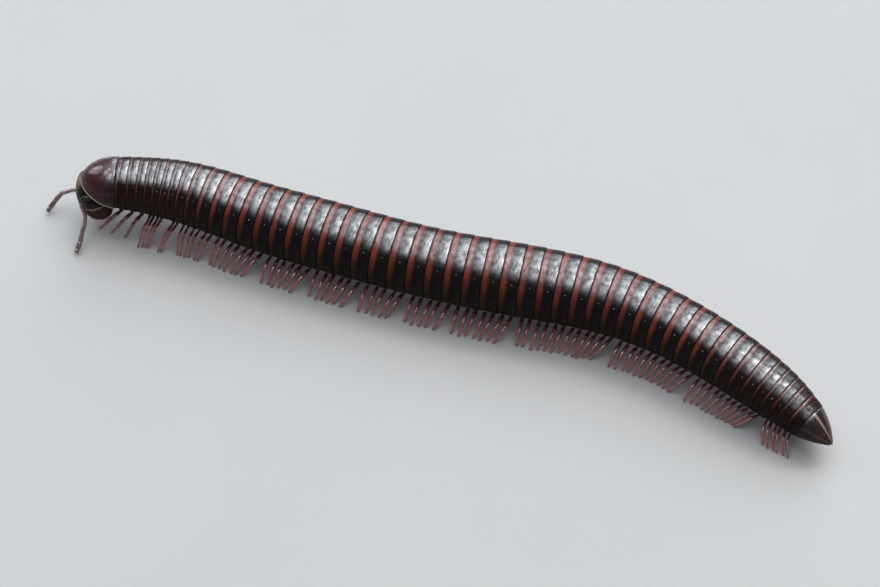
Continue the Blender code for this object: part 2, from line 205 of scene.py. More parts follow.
camera = bpy.data.objects.new("camera", bpy.data.cameras.new("camera"))
camera.data.lens = VIEW_LENS
camera.data.clip_start = VIEW_CLIP
bpy.context.scene.collection.objects.link(camera)
aim(camera, VIEW_TARGET, VIEW_AZIMUTH, VIEW_ELEVATION, VIEW_DISTANCE)
bpy.context.scene.camera = camera
print("camera height:", round(camera.matrix_world.translation.z / MM), "mm")

# %% [markdown]
# ## Nodes written as sums
#
# Finishes and growing rules are both node trees. Wiring them line by line hides what they do, so
# one small class wraps a socket and lets sums and products add the maths nodes, and one method adds
# any other node: its type, then its settings, then the values or links of its sockets.

# %% A class for sockets and one for trees


class Signal:
    """An output socket. Sums, products and the like add maths nodes after it."""

    def __init__(self, tree, socket):
        self.tree = tree
        self.socket = socket

    def maths(self, operation, *values):
        return self.tree.add("ShaderNodeMath", {"operation": operation}, dict(enumerate(values)))

    def __add__(self, other):
        return self.maths("ADD", self, other)

    def __radd__(self, other):
        return self.maths("ADD", other, self)

    def __sub__(self, other):
        return self.maths("SUBTRACT", self, other)

    def __rsub__(self, other):
        return self.maths("SUBTRACT", other, self)

    def __mul__(self, other):
        return self.maths("MULTIPLY", self, other)

    def __truediv__(self, other):
        return self.maths("DIVIDE", self, other)

    def __rtruediv__(self, other):
        return self.maths("DIVIDE", other, self)

    def __pow__(self, other):
        return self.maths("POWER", self, other)

    def sine(self):
        return self.maths("SINE", self)

    def or_more(self, other):
        """The larger of the signal and this other value."""
        return self.maths("MAXIMUM", self, other)

    def between(self, low, high):
        """Goes smoothly from 0 to 1 as the signal goes from low to high, or from high down to low."""
        return self.tree.add(
            "ShaderNodeMapRange", {"interpolation_type": "SMOOTHSTEP"},
            {"Value": self, "From Min": low, "From Max": high},
        )

    def output(self, name):
        """Another output of the same node."""
        return Signal(self.tree, self.socket.node.outputs[name])


class Tree:
    """A node tree to which nodes are added with their settings first and their sockets next."""

    def __init__(self, nodes):
        self.nodes = nodes

    def add(self, kind, settings=None, sockets=None):
        node = self.nodes.nodes.new(kind)
        for name, value in (settings or {}).items():
            setattr(node, name, value)
        shown = [socket for socket in node.inputs if socket.enabled]
        for key, value in (sockets or {}).items():
            named = [socket for socket in shown if socket.name == key]
            self.put(shown[key] if isinstance(key, int) else named[0], value)
        outputs = [socket for socket in node.outputs if socket.enabled]
        return Signal(self, outputs[0]) if outputs else node

    def put(self, socket, value):
        if isinstance(value, Signal):
            self.nodes.links.new(value.socket, socket)
        else:
            socket.default_value = value

    def mix(self, factor, first, second):
        """The first colour where the factor is 0, the second where it is 1."""
        colours = [value if isinstance(value, Signal) else (*value, 1.0) for value in (first, second)]
        return self.add(
            "ShaderNodeMix", {"data_type": "RGBA"},
            {"Factor": factor, "A": colours[0], "B": colours[1]},
        )

# %% [markdown]
# ## Growing pieces with Geometry Nodes
#
# Legs, lenses, pores and bristles are copies of a few small shapes, set where a rule says. Copying
# objects in a loop would fill the file with thousands of them. Here a carrier mesh of bare points
# holds the rule's results as attributes, and one tree sets a copy on each point, turned along the
# point's axis and sized by it. The tree ends with the copies made real and given their finish.

# %% Carriers and trees


def carrier(name, points, edges=(), **attributes):
    """Bare points, given in millimetres, that carry named numbers or vectors for a geometry tree."""
    mesh = bpy.data.meshes.new(name)
    mesh.from_pydata(np.asarray(points, float) * MM, list(edges), [])
    for label, values in attributes.items():
        values = np.array(values, np.float32)
        kind, field = ("FLOAT_VECTOR", "vector") if values.ndim == 2 else ("FLOAT", "value")
        mesh.attributes.new(label, kind, "POINT").data.foreach_set(field, values.ravel())
    made = bpy.data.objects.new(name, mesh)
    bpy.context.scene.collection.objects.link(made)
    return made


def geometry_tree(name, **inputs):
    """An empty geometry tree with these named inputs. Returns it with a signal for each input."""
    group = bpy.data.node_groups.new(name, "GeometryNodeTree")
    group.interface.new_socket("Geometry", in_out="INPUT", socket_type="NodeSocketGeometry")
    for label, kind in inputs.items():
        group.interface.new_socket(label, in_out="INPUT", socket_type="NodeSocket" + kind)
    group.interface.new_socket("Geometry", in_out="OUTPUT", socket_type="NodeSocketGeometry")
    tree = Tree(group)
    first = tree.add("NodeGroupInput")
    return tree, {label: first.output(label) for label in ("Geometry", *inputs)}


def end_tree(tree, geometry, finish):
    """Copies made real, smooth and finished."""
    real = tree.add("GeometryNodeRealizeInstances", sockets={"Geometry": geometry})
    smooth = tree.add("GeometryNodeSetShadeSmooth", sockets={"Geometry": real})
    dressed = tree.add("GeometryNodeSetMaterial", sockets={"Geometry": smooth, "Material": finish})
    tree.add("NodeGroupOutput", sockets={"Geometry": dressed})
    print(f"{tree.nodes.name}: {len(tree.nodes.nodes)} nodes")


def named(tree, label, kind="FLOAT"):
    """A point attribute, read inside a geometry tree."""
    return tree.add("GeometryNodeInputNamedAttribute", {"data_type": kind}, {"Name": label})

# %% Grown pieces as plain meshes
CARRIER_ONLY = ("axis", "upper", "width", "girth")


def plain_mesh(thing):
    """Turns what an object's modifiers make of it into its own mesh."""
    bpy.context.view_layer.update()
    graph = bpy.context.evaluated_depsgraph_get()
    mesh = bpy.data.meshes.new_from_object(thing.evaluated_get(graph), depsgraph=graph)
    thing.modifiers.clear()
    old = thing.data
    thing.data = mesh
    bpy.data.meshes.remove(old)
    mesh.name = thing.name
    return thing


def grow(start, tree, **values):
    """Runs a geometry tree on a carrier, which becomes the grown piece."""
    modifier = start.modifiers.new("grow", "NODES")
    modifier.node_group = tree.nodes
    for item in tree.nodes.interface.items_tree:
        if item.in_out == "INPUT" and item.name in values:
            modifier[item.identifier] = values[item.name]
    plain_mesh(start)
    for label in CARRIER_ONLY:
        if label in start.data.attributes:
            start.data.attributes.remove(start.data.attributes[label])
    return start

# %% [markdown]
# ## One tree for all small pieces
#
# Pores, leg segments, claws, bristles, lenses and feelers differ only in the shape that is copied and
# in the rule that places it. A tree for each would say the same thing many times, so one tree serves
# them all. A small change of each copy's width, drawn from a fixed seed, keeps them from looking
# stamped.

# %% The tree that sets pieces on points
set_pieces, given = geometry_tree(
    "set pieces on points", Piece="Object", Finish="Material", Unevenness="Float", Seed="Int",
)
point_axis = named(set_pieces, "axis", "FLOAT_VECTOR")
point_width = named(set_pieces, "width")
point_turn = set_pieces.add(
    "FunctionNodeAxesToRotation", {"primary_axis": "Z", "secondary_axis": "X"},
    {"Primary Axis": point_axis, "Secondary Axis": named(set_pieces, "upper", "FLOAT_VECTOR")},
)
point_change = set_pieces.add(
    "FunctionNodeRandomValue", {"data_type": "FLOAT"},
    {"Min": 1 - given["Unevenness"], "Max": 1 + given["Unevenness"], "Seed": given["Seed"]},
)
point_length = set_pieces.add("ShaderNodeVectorMath", {"operation": "LENGTH"}, {0: point_axis})
point_scale = set_pieces.add("ShaderNodeCombineXYZ", sockets={
    "X": point_width * point_change, "Y": point_width * point_change, "Z": point_length,
})
small_shape = set_pieces.add("GeometryNodeObjectInfo", sockets={"Object": given["Piece"]})
small_copies = set_pieces.add("GeometryNodeInstanceOnPoints", sockets={
    "Points": given["Geometry"], "Instance": small_shape.output("Geometry"),
    "Rotation": point_turn, "Scale": point_scale,
})
end_tree(set_pieces, small_copies, given["Finish"])


def set_copies(name, shape, finish, points, axes, uppers, widths, seed, unevenness, **attributes):
    """One copy of a small shape on each point, with axes and widths given in millimetres."""
    count = len(points)
    start = carrier(
        name, points, axis=np.asarray(axes) * MM, upper=np.broadcast_to(uppers, (count, 3)),
        width=np.broadcast_to(np.asarray(widths) * MM, count), **attributes,
    )
    return grow(start, set_pieces, Piece=shape, Finish=finish, Unevenness=unevenness, Seed=seed)

# %% [markdown]
# ## Lofts and turned shapes
#
# The dome, the head, the tail piece and the valves are closed bodies. They could be pulled out of a
# sphere with modifiers, but then no point would know its place on the animal. A loft through rows of
# points keeps each one where the rule puts it, and carries numbers with it, such as the distance from
# an edge, that the finishes read. The small shapes that are copied are turned from a short profile.

# %% Meshes, lofts and small turned shapes
small_shapes = []


def mesh_object(name, points, faces, finish=None, **attributes):
    """A mesh in metres whose faces point outwards, shaded smooth, with point attributes."""
    mesh = bpy.data.meshes.new(name)
    mesh.from_pydata(np.asarray(points, float), [], faces)
    for label, values in attributes.items():
        layer = mesh.attributes.new(label, "FLOAT", "POINT")
        layer.data.foreach_set("value", np.array(values, np.float32).ravel())
    shape = bmesh.new()
    shape.from_mesh(mesh)
    bmesh.ops.recalc_face_normals(shape, faces=shape.faces)
    if shape.calc_volume(signed=True) < 0:
        bmesh.ops.reverse_faces(shape, faces=shape.faces)
    shape.to_mesh(mesh)
    shape.free()
    mesh.shade_smooth()
    if finish:
        mesh.materials.append(finish)
    made = bpy.data.objects.new(name, mesh)
    bpy.context.scene.collection.objects.link(made)
    return made


def loft(name, grid, finish=None, **attributes):
    """A closed body through rows of points that each run once round it."""
    grid = np.asarray(grid, float)
    rows, columns = grid.shape[:2]
    faces = [tuple(range(columns)), tuple(range((rows - 1) * columns, rows * columns))]
    for row in range(rows - 1):
        for column in range(columns):
            after = (column + 1) % columns
            low, high = row * columns, (row + 1) * columns
            faces.append((low + column, low + after, high + after, high + column))
    return mesh_object(name, grid.reshape(-1, 3), faces, finish, **attributes)


def turned(name, profile, sides):
    """A small shape of unit size, turned about Z, that keeps its height as the attribute share."""
    turns = np.arange(sides) * 2 * math.pi / sides
    grid = [[(r * math.cos(t), r * math.sin(t), z) for t in turns] for z, r in profile]
    shape = loft(name, grid, share=[[z] * sides for z, _ in profile])
    shape.hide_render = True
    small_shapes.append(shape)
    print(f"{name}: {len(shape.data.polygons)} faces")
    return shape

# %% What is said of a finished piece


def tell(piece):
    """Prints what a finished piece measures."""
    piece.data.calc_loop_triangles()
    corners = np.array([vertex.co for vertex in piece.data.vertices]) / MM
    size = " x ".join(f"{side:.1f}" for side in corners.max(axis=0) - corners.min(axis=0))
    print(f"{piece.name}: {len(piece.data.loop_triangles)} triangles, {size} mm")


def settle(piece, slot, *nodes):
    """Hangs a finished piece under the root, hides the solids it stands for and prints what it measures.
    The slot is not used.
    """
    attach(piece, "root")
    if nodes:
        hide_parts(*nodes)
    tell(piece)

# %% [markdown]
# ## Cuticle
#
# A millipede's cuticle is hard, waxy and hardly rough, but never a mirror: it is gently dented,
# finely wrinkled and dusty, which breaks its highlights into patches. A picture of a real shell would
# have its own lamps in it and one size only, so the pattern is worked out from noise in millimetres.
# Every finish below starts from the same base: broad dents and fine wrinkles as bump, roughness that
# changes with them, and specks of dust. Each piece then brings its own colours and extra relief.

# %% The base of every finish
DENT_SIZE = 0.9
WRINKLE_SIZE = 0.16
NOISE_DETAIL = 2.0
FINE_DETAIL = 3.0
DUST_COLOUR = (0.30, 0.26, 0.22)
DUST_PER_MM = 2.6
DUST_SPECK = (0.055, 0.02)
DUST_PATCH_SIZE = 2.0
DUST_PATCH = (0.45, 0.65)
ROUGHER_WITH_DENTS = 0.16
ROUGHER_WITH_DUST = 0.3
CUTICLE_INDEX = 1.5
WAX_ROUGHNESS = 0.26
WAX_INDEX = 1.9


def noise(tree, place, size, detail=NOISE_DETAIL, stretch=(1.0, 1.0, 1.0)):
    """Smooth noise around 0.5 whose patches are about this many millimetres across."""
    scaled = tree.add(
        "ShaderNodeVectorMath", {"operation": "MULTIPLY"},
        {0: place, 1: tuple(1 / (size * side) for side in stretch)},
    )
    return tree.add("ShaderNodeTexNoise", sockets={"Vector": scaled, "Scale": 1.0, "Detail": detail})


def spots(tree, place, per_mm, rim, heart):
    """Scattered spots, about this many to the millimetre, that go from 0 at the rim to 1."""
    cells = tree.add(
        "ShaderNodeTexVoronoi", sockets={"Vector": place, "Scale": per_mm, "Randomness": 1.0},
    )
    return cells.between(rim, heart)


def shader_attribute(tree, label):
    """A point attribute, read inside a material."""
    return tree.add("ShaderNodeAttribute", {"attribute_name": label}).output("Fac")


def shader_attributes(tree, *labels):
    return [shader_attribute(tree, label) for label in labels]


def cuticle(
    name, paint, roughness=0.3, dents=0.03, wrinkles=0.006, dust=0.25, wax=0.0, gloss=0.5, relief=None,
):
    """A waxy finish. Functions among the values take the tree and the place in millimetres."""
    material = bpy.data.materials.new(name)
    material.use_nodes = True
    tree = Tree(material.node_tree)
    shader = material.node_tree.nodes["Principled BSDF"]
    metres = tree.add("ShaderNodeTexCoord").output("Object")
    place = tree.add("ShaderNodeVectorMath", {"operation": "SCALE"}, {"Vector": metres, "Scale": 1 / MM})
    roughness, wax = (value(tree, place) if callable(value) else value for value in (roughness, wax))
    broad = noise(tree, place, DENT_SIZE)
    height = broad * dents + noise(tree, place, WRINKLE_SIZE, FINE_DETAIL) * wrinkles
    if relief:
        height = height + relief(tree, place)
    patches = noise(tree, place, DUST_PATCH_SIZE).between(*DUST_PATCH)
    speck = spots(tree, place, DUST_PER_MM, *DUST_SPECK) * patches
    values = {
        "Base Color": tree.mix(speck * dust, paint(tree, place), DUST_COLOUR),
        "Roughness": roughness + (broad - 0.5) * ROUGHER_WITH_DENTS + speck * ROUGHER_WITH_DUST,
        "Normal": tree.add("ShaderNodeBump", sockets={"Strength": 1.0, "Distance": MM, "Height": height}),
        "Specular IOR Level": gloss,
        "IOR": CUTICLE_INDEX,
        "Coat Weight": wax,
        "Coat Roughness": WAX_ROUGHNESS,
        "Coat IOR": WAX_INDEX,
    }
    for label, value in values.items():
        tree.put(shader.inputs[label], value)
    print(f"finish {name}: {len(tree.nodes.nodes)} nodes")
    return material

# %% [markdown]
# ## Rings
#
# Each ring of the trunk has a narrow front part that slides under the ring before it, and a wider
# rear part with a rim that overhangs the next. The front part shows as a red-brown band and the rear
# part is black. Forty-nine separate tubes would need care at every joint, so the rings are swept as
# one skin: a line of points carries the girth of each step, and the tree sweeps a circle along it.

# %% The profile of one ring
RING_PROFILE = (
    # The share of the ring's length, and how much wider than the body's radius the ring is there.
    (0.004, -0.24), (0.012, -0.125), (0.04, -0.090), (0.12, -0.075), (0.22, -0.062), (0.30, -0.054),
    (0.345, -0.064), (0.39, -0.040), (0.46, -0.026), (0.56, -0.012), (0.68, 0.000), (0.80, 0.010),
    (0.89, 0.012), (0.945, 0.000), (0.972, -0.026), (0.986, -0.085), (0.994, -0.200),
)
NECK_ROWS = ((1.4, 0.6), (0.1, 0.0))
NECK_STEP_IN = 0.45
FULL_RING_LENGTH = 2.5
LEAST_DEPTH = 0.35
SEAM_SHIFTS = ((44, 0.0), (48, -0.7), (50, -0.8))


def seam_shift(ring):
    """How much closer to the head the ring's rear edge shows than in the solids."""
    return float(np.interp(ring, *zip(*SEAM_SHIFTS)))


neck_girth = float(radius_at(COLLUM_END)) - NECK_STEP_IN
ring_rows = [(COLLUM_END - ahead, neck_girth - narrower, 0.0, 2) for ahead, narrower in NECK_ROWS]
for ring_number, (ring_start, ring_end) in RING_ENDS.items():
    ring_start += seam_shift(ring_number - 1)
    ring_end += seam_shift(ring_number)
    depth = min(1.0, LEAST_DEPTH + (1 - LEAST_DEPTH) * (ring_end - ring_start) / FULL_RING_LENGTH)
    for share, change in RING_PROFILE:
        along = ring_start + share * (ring_end - ring_start)
        ring_rows.append((along, float(radius_at(along)) + change * depth, share, ring_number))
ring_places, ring_girths, ring_shares, ring_numbers = np.array(ring_rows).T
print("rows along the trunk:", len(ring_rows))

# %% [markdown]
# ## The finish of the rings
#
# The band is widest and reddest along the back in the middle of the body. It narrows towards both
# ends and sinks into brown and black down the flank, darkened there in part by painted shade, and
# the black part is polished in streaks. A dark line at each seam is painted shade in the crease under
# the rim. An image wrapped round the trunk would smear on such thin rings. Instead the sweep below writes
# on
# every point how far along its ring it lies and how high, and the finish is worked out from these
# numbers, with noise that keeps to the ring.

# %% The colours of the rings
BAND_TOP = (0.080, 0.018, 0.013)
BAND_LOW = (0.056, 0.0165, 0.0060)
BAND_PINK = (0.070, 0.030, 0.030)
RING_BLACK = (0.0055, 0.0042, 0.0045)
RING_BROWN = (0.013, 0.0050, 0.0030)
SEAM_SHADE = (0.002, 0.0015, 0.0015)
FRONT_RINGS = (13.0, 8.0)
TAIL_RINGS = (39.0, 46.0)
BAND_WIDTH = 0.30
BAND_LOSS_IN_FRONT = 0.16
BAND_LOSS_AT_TAIL = 0.15
BAND_EDGE = (1.45, 0.70)
BAND_RAGGED = 0.09
RAGGED_SIZES = (0.5, 0.45)
RED_FALL = (0.88, 0.30)
PINK_IN_FRONT = 0.6
PINK_AT_TAIL = 0.5
WORN_SIZES = (1.4, 1.6)
WORN_PATCHES = (0.40, 0.75)
MOST_WORN = 0.4
FAINT_FALL_IN_FRONT = (0.85, 0.45)
MOST_FAINT_IN_FRONT = 0.5
FAINT_FALL_AT_TAIL = (0.95, 0.5)
MOST_FAINT_AT_TAIL = 0.4
BAND_SHADE_FALL = (0.85, -0.1)
DEEPEST_BAND_SHADE = 0.6
BAND_BELLY_END = (-0.75, -0.05)
BROWN_FALL = (0.35, -0.6)
BROWN_FALL_IN_FRONT = (0.9, 0.4)
BROWN_IN_FRONT = 0.7
BROWN_AT_TAIL = 0.25
REAR_SEAM = (0.962, 0.985)
FRONT_SEAM = (0.018, 0.008)
SEAM_SHADE_STRENGTH = 0.9
MIDDLE_GIRTH = 5.0


def body_noise(tree, along_size, round_size, detail=NOISE_DETAIL):
    """Noise that keeps to the ring: this long along the body and this long round it."""
    place = tree.add("ShaderNodeCombineXYZ", sockets={
        "X": shader_attribute(tree, "along") / along_size,
        "Y": shader_attribute(tree, "sideness") * (MIDDLE_GIRTH / round_size),
        "Z": shader_attribute(tree, "upness") * (MIDDLE_GIRTH / round_size),
    })
    return tree.add("ShaderNodeTexNoise", sockets={"Vector": place, "Scale": 1.0, "Detail": detail})


def paint_rings(tree, place):
    share, number, upness = shader_attributes(tree, "share", "number", "upness")
    in_front = number.between(*FRONT_RINGS)
    at_tail = number.between(*TAIL_RINGS)
    # The band, pinker and narrower at both ends of the body, darker and more orange low on the flank.
    red = tree.mix(upness.between(*RED_FALL), BAND_TOP, BAND_LOW)
    red = tree.mix(in_front * PINK_IN_FRONT + at_tail * PINK_AT_TAIL, red, BAND_PINK)
    ragged = share + (body_noise(tree, *RAGGED_SIZES, FINE_DETAIL) - 0.5) * BAND_RAGGED
    width = BAND_WIDTH - in_front * BAND_LOSS_IN_FRONT - at_tail * BAND_LOSS_AT_TAIL
    band = (ragged / width).between(*BAND_EDGE)
    # What hides it: wear, the flank at both ends, the turn to the belly, and painted shade low down.
    worn = body_noise(tree, *WORN_SIZES).between(*WORN_PATCHES) * MOST_WORN
    faint = in_front * upness.between(*FAINT_FALL_IN_FRONT) * MOST_FAINT_IN_FRONT
    faint = faint + at_tail * upness.between(*FAINT_FALL_AT_TAIL) * MOST_FAINT_AT_TAIL
    band_shade_low = 1 - upness.between(*BAND_SHADE_FALL) * DEEPEST_BAND_SHADE
    band = band * (1 - worn) * (1 - faint) * band_shade_low * upness.between(*BAND_BELLY_END)
    # The black of the rear part, browner low down and at both ends.
    brown = upness.between(*BROWN_FALL) + at_tail * BROWN_AT_TAIL
    brown = brown + in_front * upness.between(*BROWN_FALL_IN_FRONT) * BROWN_IN_FRONT
    ring = tree.mix(band, tree.mix(brown, RING_BLACK, RING_BROWN), red)
    # A dark line at each seam is painted shade in the crease under a ring's rear rim.
    edge = share.between(*REAR_SEAM).or_more(share.between(*FRONT_SEAM))
    return tree.mix(edge * SEAM_SHADE_STRENGTH, ring, SEAM_SHADE)

# %% The relief, the wax and the roughness of the rings
STRIA_SIZES = (0.085, 0.9)
STRIA_HEIGHT = 0.014
PATCH_SIZES = (0.55, 0.8)
PATCH_HEIGHT = 0.045
BEADS_ROUND = 75.0
BEAD_HEIGHT = 0.006
BEAD_EXTRA_IN_FRONT = 0.02
BEAD_ZONE = ((0.06, 0.10), (0.24, 0.16))
PITS_PER_MM = 4.5
PIT_EDGE = (0.22, 0.0)
PIT_DEPTH = 0.012
NARROW_RINGS = (16.0, 9.0)
STREAK_SIZES = (0.10, 1.3)
STREAK_EDGE = (0.32, 0.68)
STREAK_WAX = 0.44
POLISH_SIZES = (0.8, 0.8)
POLISH_EDGE = (0.32, 0.66)
POLISH_WAX = 0.44
WORN_WAX = 0.12
MIDDLE_WAX = 0.38
REAR_POLISH = (0.32, 0.92)
REAR_WAX = 0.92
BAND_POLISH = (0.34, 0.20)
BAND_WAX = 0.20
NARROW_RING_WAX = 0.35
SHINE_TILT = 0.05
BACK_EDGE = (0.80, 0.962)
LEAST_WAX = 0.06
FAR_FLANK = (-0.83, -0.93)
FAR_FLANK_WAX = 0.7
RING_ROUGHNESS = 0.24
FLANK_FALL = (0.85, 0.45)
FLANK_ROUGHER = 0.22


def ring_relief(tree, place):
    """Fine striae that run round the ring, a row of beads behind each seam and shallow pits."""
    share, number, sideness = shader_attributes(tree, "share", "number", "sideness")
    bead_zone = share.between(*BEAD_ZONE[0]) * share.between(*BEAD_ZONE[1])
    bead_height = BEAD_HEIGHT + number.between(*NARROW_RINGS) * BEAD_EXTRA_IN_FRONT
    beads = (sideness * BEADS_ROUND).sine() * bead_zone * bead_height
    striae = body_noise(tree, *STRIA_SIZES, FINE_DETAIL) * STRIA_HEIGHT
    patches = body_noise(tree, *PATCH_SIZES) * PATCH_HEIGHT
    pits = spots(tree, place, PITS_PER_MM, *PIT_EDGE) * PIT_DEPTH
    return striae + patches + beads - pits


def ring_wax(tree, place):
    """The back is polished in streaks, most at the rear of a ring. The near flank is rubbed dull."""
    share, number = shader_attributes(tree, "share", "number")
    sideness, upness = shader_attributes(tree, "sideness", "upness")
    streaks = body_noise(tree, *STREAK_SIZES, FINE_DETAIL).between(*STREAK_EDGE)
    patches = body_noise(tree, *POLISH_SIZES, FINE_DETAIL).between(*POLISH_EDGE)
    worn = WORN_WAX + streaks * STREAK_WAX + patches * POLISH_WAX
    shine = MIDDLE_WAX + share.between(*REAR_POLISH) * REAR_WAX + share.between(*BAND_POLISH) * BAND_WAX
    shine = shine + number.between(*NARROW_RINGS) * NARROW_RING_WAX
    back = (upness + sideness * SHINE_TILT).between(*BACK_EDGE)
    far_flank = sideness.between(*FAR_FLANK)
    return worn * shine * (LEAST_WAX + back * (1 - LEAST_WAX) + far_flank * FAR_FLANK_WAX)


def ring_roughness(tree, place):
    return RING_ROUGHNESS + shader_attribute(tree, "upness").between(*FLANK_FALL) * FLANK_ROUGHER


rings_finish = cuticle(
    "ring cuticle", paint_rings, ring_roughness, 0.02, 0.006, wax=ring_wax, gloss=0.02, relief=ring_relief,
)

# %% The tree that sweeps the rings
BELLY_POWER = 3.0

sweep_rings, given = geometry_tree(
    "sweep rings along the body", Finish="Material", Sides="Int", Flatness="Float",
    Dents="Float", Pitch="Float",
)
body_curve = sweep_rings.add("GeometryNodeMeshToCurve", sockets={"Mesh": given["Geometry"]})
body_curve = sweep_rings.add("GeometryNodeSetCurveNormal", {"mode": "Z_UP"}, {"Curve": body_curve})
round_edge = sweep_rings.add(
    "GeometryNodeCurvePrimitiveCircle", sockets={"Resolution": given["Sides"], "Radius": 1.0},
)
edge_split = sweep_rings.add(
    "ShaderNodeSeparateXYZ", sockets={"Vector": sweep_rings.add("GeometryNodeInputPosition")},
)
edge_side, edge_up = edge_split.output("X"), 0.0 - edge_split.output("Y")
for label, value in (("upness", edge_up), ("sideness", edge_side)):
    round_edge = sweep_rings.add(
        "GeometryNodeStoreNamedAttribute", {"data_type": "FLOAT", "domain": "POINT"},
        {"Geometry": round_edge, "Name": label, "Value": value},
    )
edge_low = (0.0 - edge_up).or_more(0.0)
edge_flat = sweep_rings.add("ShaderNodeCombineXYZ", sockets={
    "X": edge_side, "Y": edge_up * (given["Flatness"] * edge_low ** BELLY_POWER - 1),
})
round_edge = sweep_rings.add(
    "GeometryNodeSetPosition", sockets={"Geometry": round_edge, "Position": edge_flat},
)
swept = sweep_rings.add("GeometryNodeCurveToMesh", sockets={
    "Curve": body_curve, "Profile Curve": round_edge, "Scale": named(sweep_rings, "girth"),
    "Fill Caps": True,
})
dent_place = sweep_rings.add(
    "ShaderNodeVectorMath", {"operation": "SCALE"},
    {"Vector": sweep_rings.add("GeometryNodeInputPosition"), "Scale": 1 / given["Pitch"]},
)
dent_noise = sweep_rings.add(
    "ShaderNodeTexNoise", sockets={"Vector": dent_place, "Scale": 1.0, "Detail": 2.0},
)
dent_step = sweep_rings.add(
    "ShaderNodeVectorMath", {"operation": "SCALE"},
    {"Vector": sweep_rings.add("GeometryNodeInputNormal"), "Scale": (dent_noise - 0.5) * given["Dents"]},
)
dented = sweep_rings.add(
    "GeometryNodeSetPosition", sockets={"Geometry": swept, "Offset": dent_step},
)
end_tree(sweep_rings, dented, given["Finish"])

# %% The swept rings
RING_SIDES = 96
BELLY_FLATNESS = 0.05
DENT_DEPTH = 0.022
DENT_PITCH = 1.1
TRUNK_NODES = [name for name in sorted(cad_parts) if name.startswith("trunk_")]

rings = carrier(
    "rings", line_at(ring_places), [(row, row + 1) for row in range(len(ring_rows) - 1)],
    girth=ring_girths * MM, share=ring_shares, number=ring_numbers, along=ring_places,
)
grow(
    rings, sweep_rings, Finish=rings_finish, Sides=RING_SIDES, Flatness=BELLY_FLATNESS,
    Dents=DENT_DEPTH * MM, Pitch=DENT_PITCH * MM,
)
settle(rings, "rings", *TRUNK_NODES)


def values_of(piece, label):
    return np.array([item.value for item in piece.data.attributes[label].data])


ring_corners = np.array([vertex.co for vertex in rings.data.vertices]) / MM
for label, axis, sign in (("upness", 2, 1), ("sideness", 1, -1)):
    offsets = ring_corners[:, axis] - np.interp(values_of(rings, "along"), LINE_PLACES, LINE[:, axis])
    likeness = np.corrcoef(values_of(rings, label), sign * offsets)[0, 1]
    print(label, "follows the points' places:", round(float(likeness), 3))

# %% [markdown]
# ## Pores
#
# A defence gland opens on each flank of almost every ring, a tiny pale crater. They lie on the
# black part of the ring, a little above mid-height, so that a line of them runs along each side. As
# dots of colour they would look printed. Each is a real crater instead, a small turned shape with a
# rim that catches the light, sunk a little into the skin.

# %% A pore on each flank
PORE_FIRST_RING = 6
PORE_SHARE = 0.62
PORE_TURN = math.radians(43)
PORE_WIDTH = 0.085
PORE_HEIGHT = 0.05
PORE_SINK = 0.03
PORE_PROFILE = ((-0.6, 1.0), (0.35, 0.95), (0.9, 0.7), (0.8, 0.5), (0.1, 0.3))
PORE_PALE = (0.22, 0.17, 0.14)
PORE_DARK = (0.05, 0.03, 0.025)


def paint_pores(tree, place):
    return tree.mix(noise(tree, place, 0.5).between(0.35, 0.6), PORE_DARK, PORE_PALE)


pore_points, pore_axes = [], []
for ring_number in range(PORE_FIRST_RING, LAST_RING):
    ring_start, ring_end = RING_ENDS[ring_number]
    along = ring_start + PORE_SHARE * (ring_end - ring_start) + seam_shift(ring_number)
    radius = float(radius_at(along)) - PORE_SINK
    for side in (1, -1):
        point = body_points(along, side * radius * math.sin(PORE_TURN), radius * math.cos(PORE_TURN))
        pore_points.append(point)
        pore_axes.append(unit(point - line_at(along)) * PORE_HEIGHT)
pores = set_copies(
    "pores", turned("pore shape", PORE_PROFILE, 10), cuticle("pore", paint_pores, 0.35),
    pore_points, pore_axes, UP, PORE_WIDTH, seed=3, unevenness=0.2,
)
settle(pores, "rings")

# %% [markdown]
# ## Legs
#
# Each leg has six segments and a claw. It leaves the belly close to the middle line, arches out and
# comes down beside the body. The feet swing in waves that run along the row: the first foot of a
# wave stands straight and the last leans far forward. A bent tube for each leg would hide its joints.
# So each leg is a smooth line, cut where its joints are, with one copy of a small turned shape on
# every piece. The solids draw the same legs from the same seeds, and the fine legs here lie in them.
# Only the first three pairs differ: they are held up beside the head, and here a little higher,
# further forward and thicker than in the solids, and painted darker as shade under the head.

# %% The rule of the walking waves
SINGLE_PAIR_RINGS = (2, 3, 4)
LEGLESS_RINGS = (7, 50)
SINGLE_PAIR_PLACE = 0.5
DOUBLE_PAIR_PLACES = (0.27, 0.73)
LEG_REACH = 1.2
LEG_TO_RING_LENGTH = 0.21
THINNEST_LEG = 0.4
THICKEST_LEG = 0.56
LEG_ROOT = 0.8
LEG_ROOT_DEPTH = 0.5
LEG_BENDS = (
    # How far out and how high each bend lies, and its share of the foot's lean.
    (0.36, 0.80, 0.08), (0.72, 0.86, 0.33), (0.93, 0.38, 0.75),
)
WAVES = (
    # Where a wave starts along the body, and how far its first and last foot lean towards the tail.
    (-6.0, -0.3, -2.3), (12.4, -0.3, -1.3), (18.0, -0.3, -2.6), (27.0, -0.3, -2.6),
    (35.0, -0.4, -2.4), (42.5, -0.4, -2.3), (50.0, -0.4, -2.0), (56.0, -0.3, -2.4),
    (66.0, -0.2, -2.5), (81.5, -0.4, -2.5), (95.5, -0.5, -2.4), (106.5, 1.6, 2.6),
    (125.0, 0.0, 0.0),
)
LEAN_CHANGE = 0.04
REACH_CHANGE = 0.03
HELD_PAIRS = {
    # The ring of a pair, the lean of its feet and their height over the floor.
    2: (-3.9, 2.6), 3: (-3.6, 1.9), 4: (-2.9, 1.0),
}
HELD_REACH = 0.86
HELD_THICKNESS = 1.4
HELD_PAINTED_SHADE = 0.35
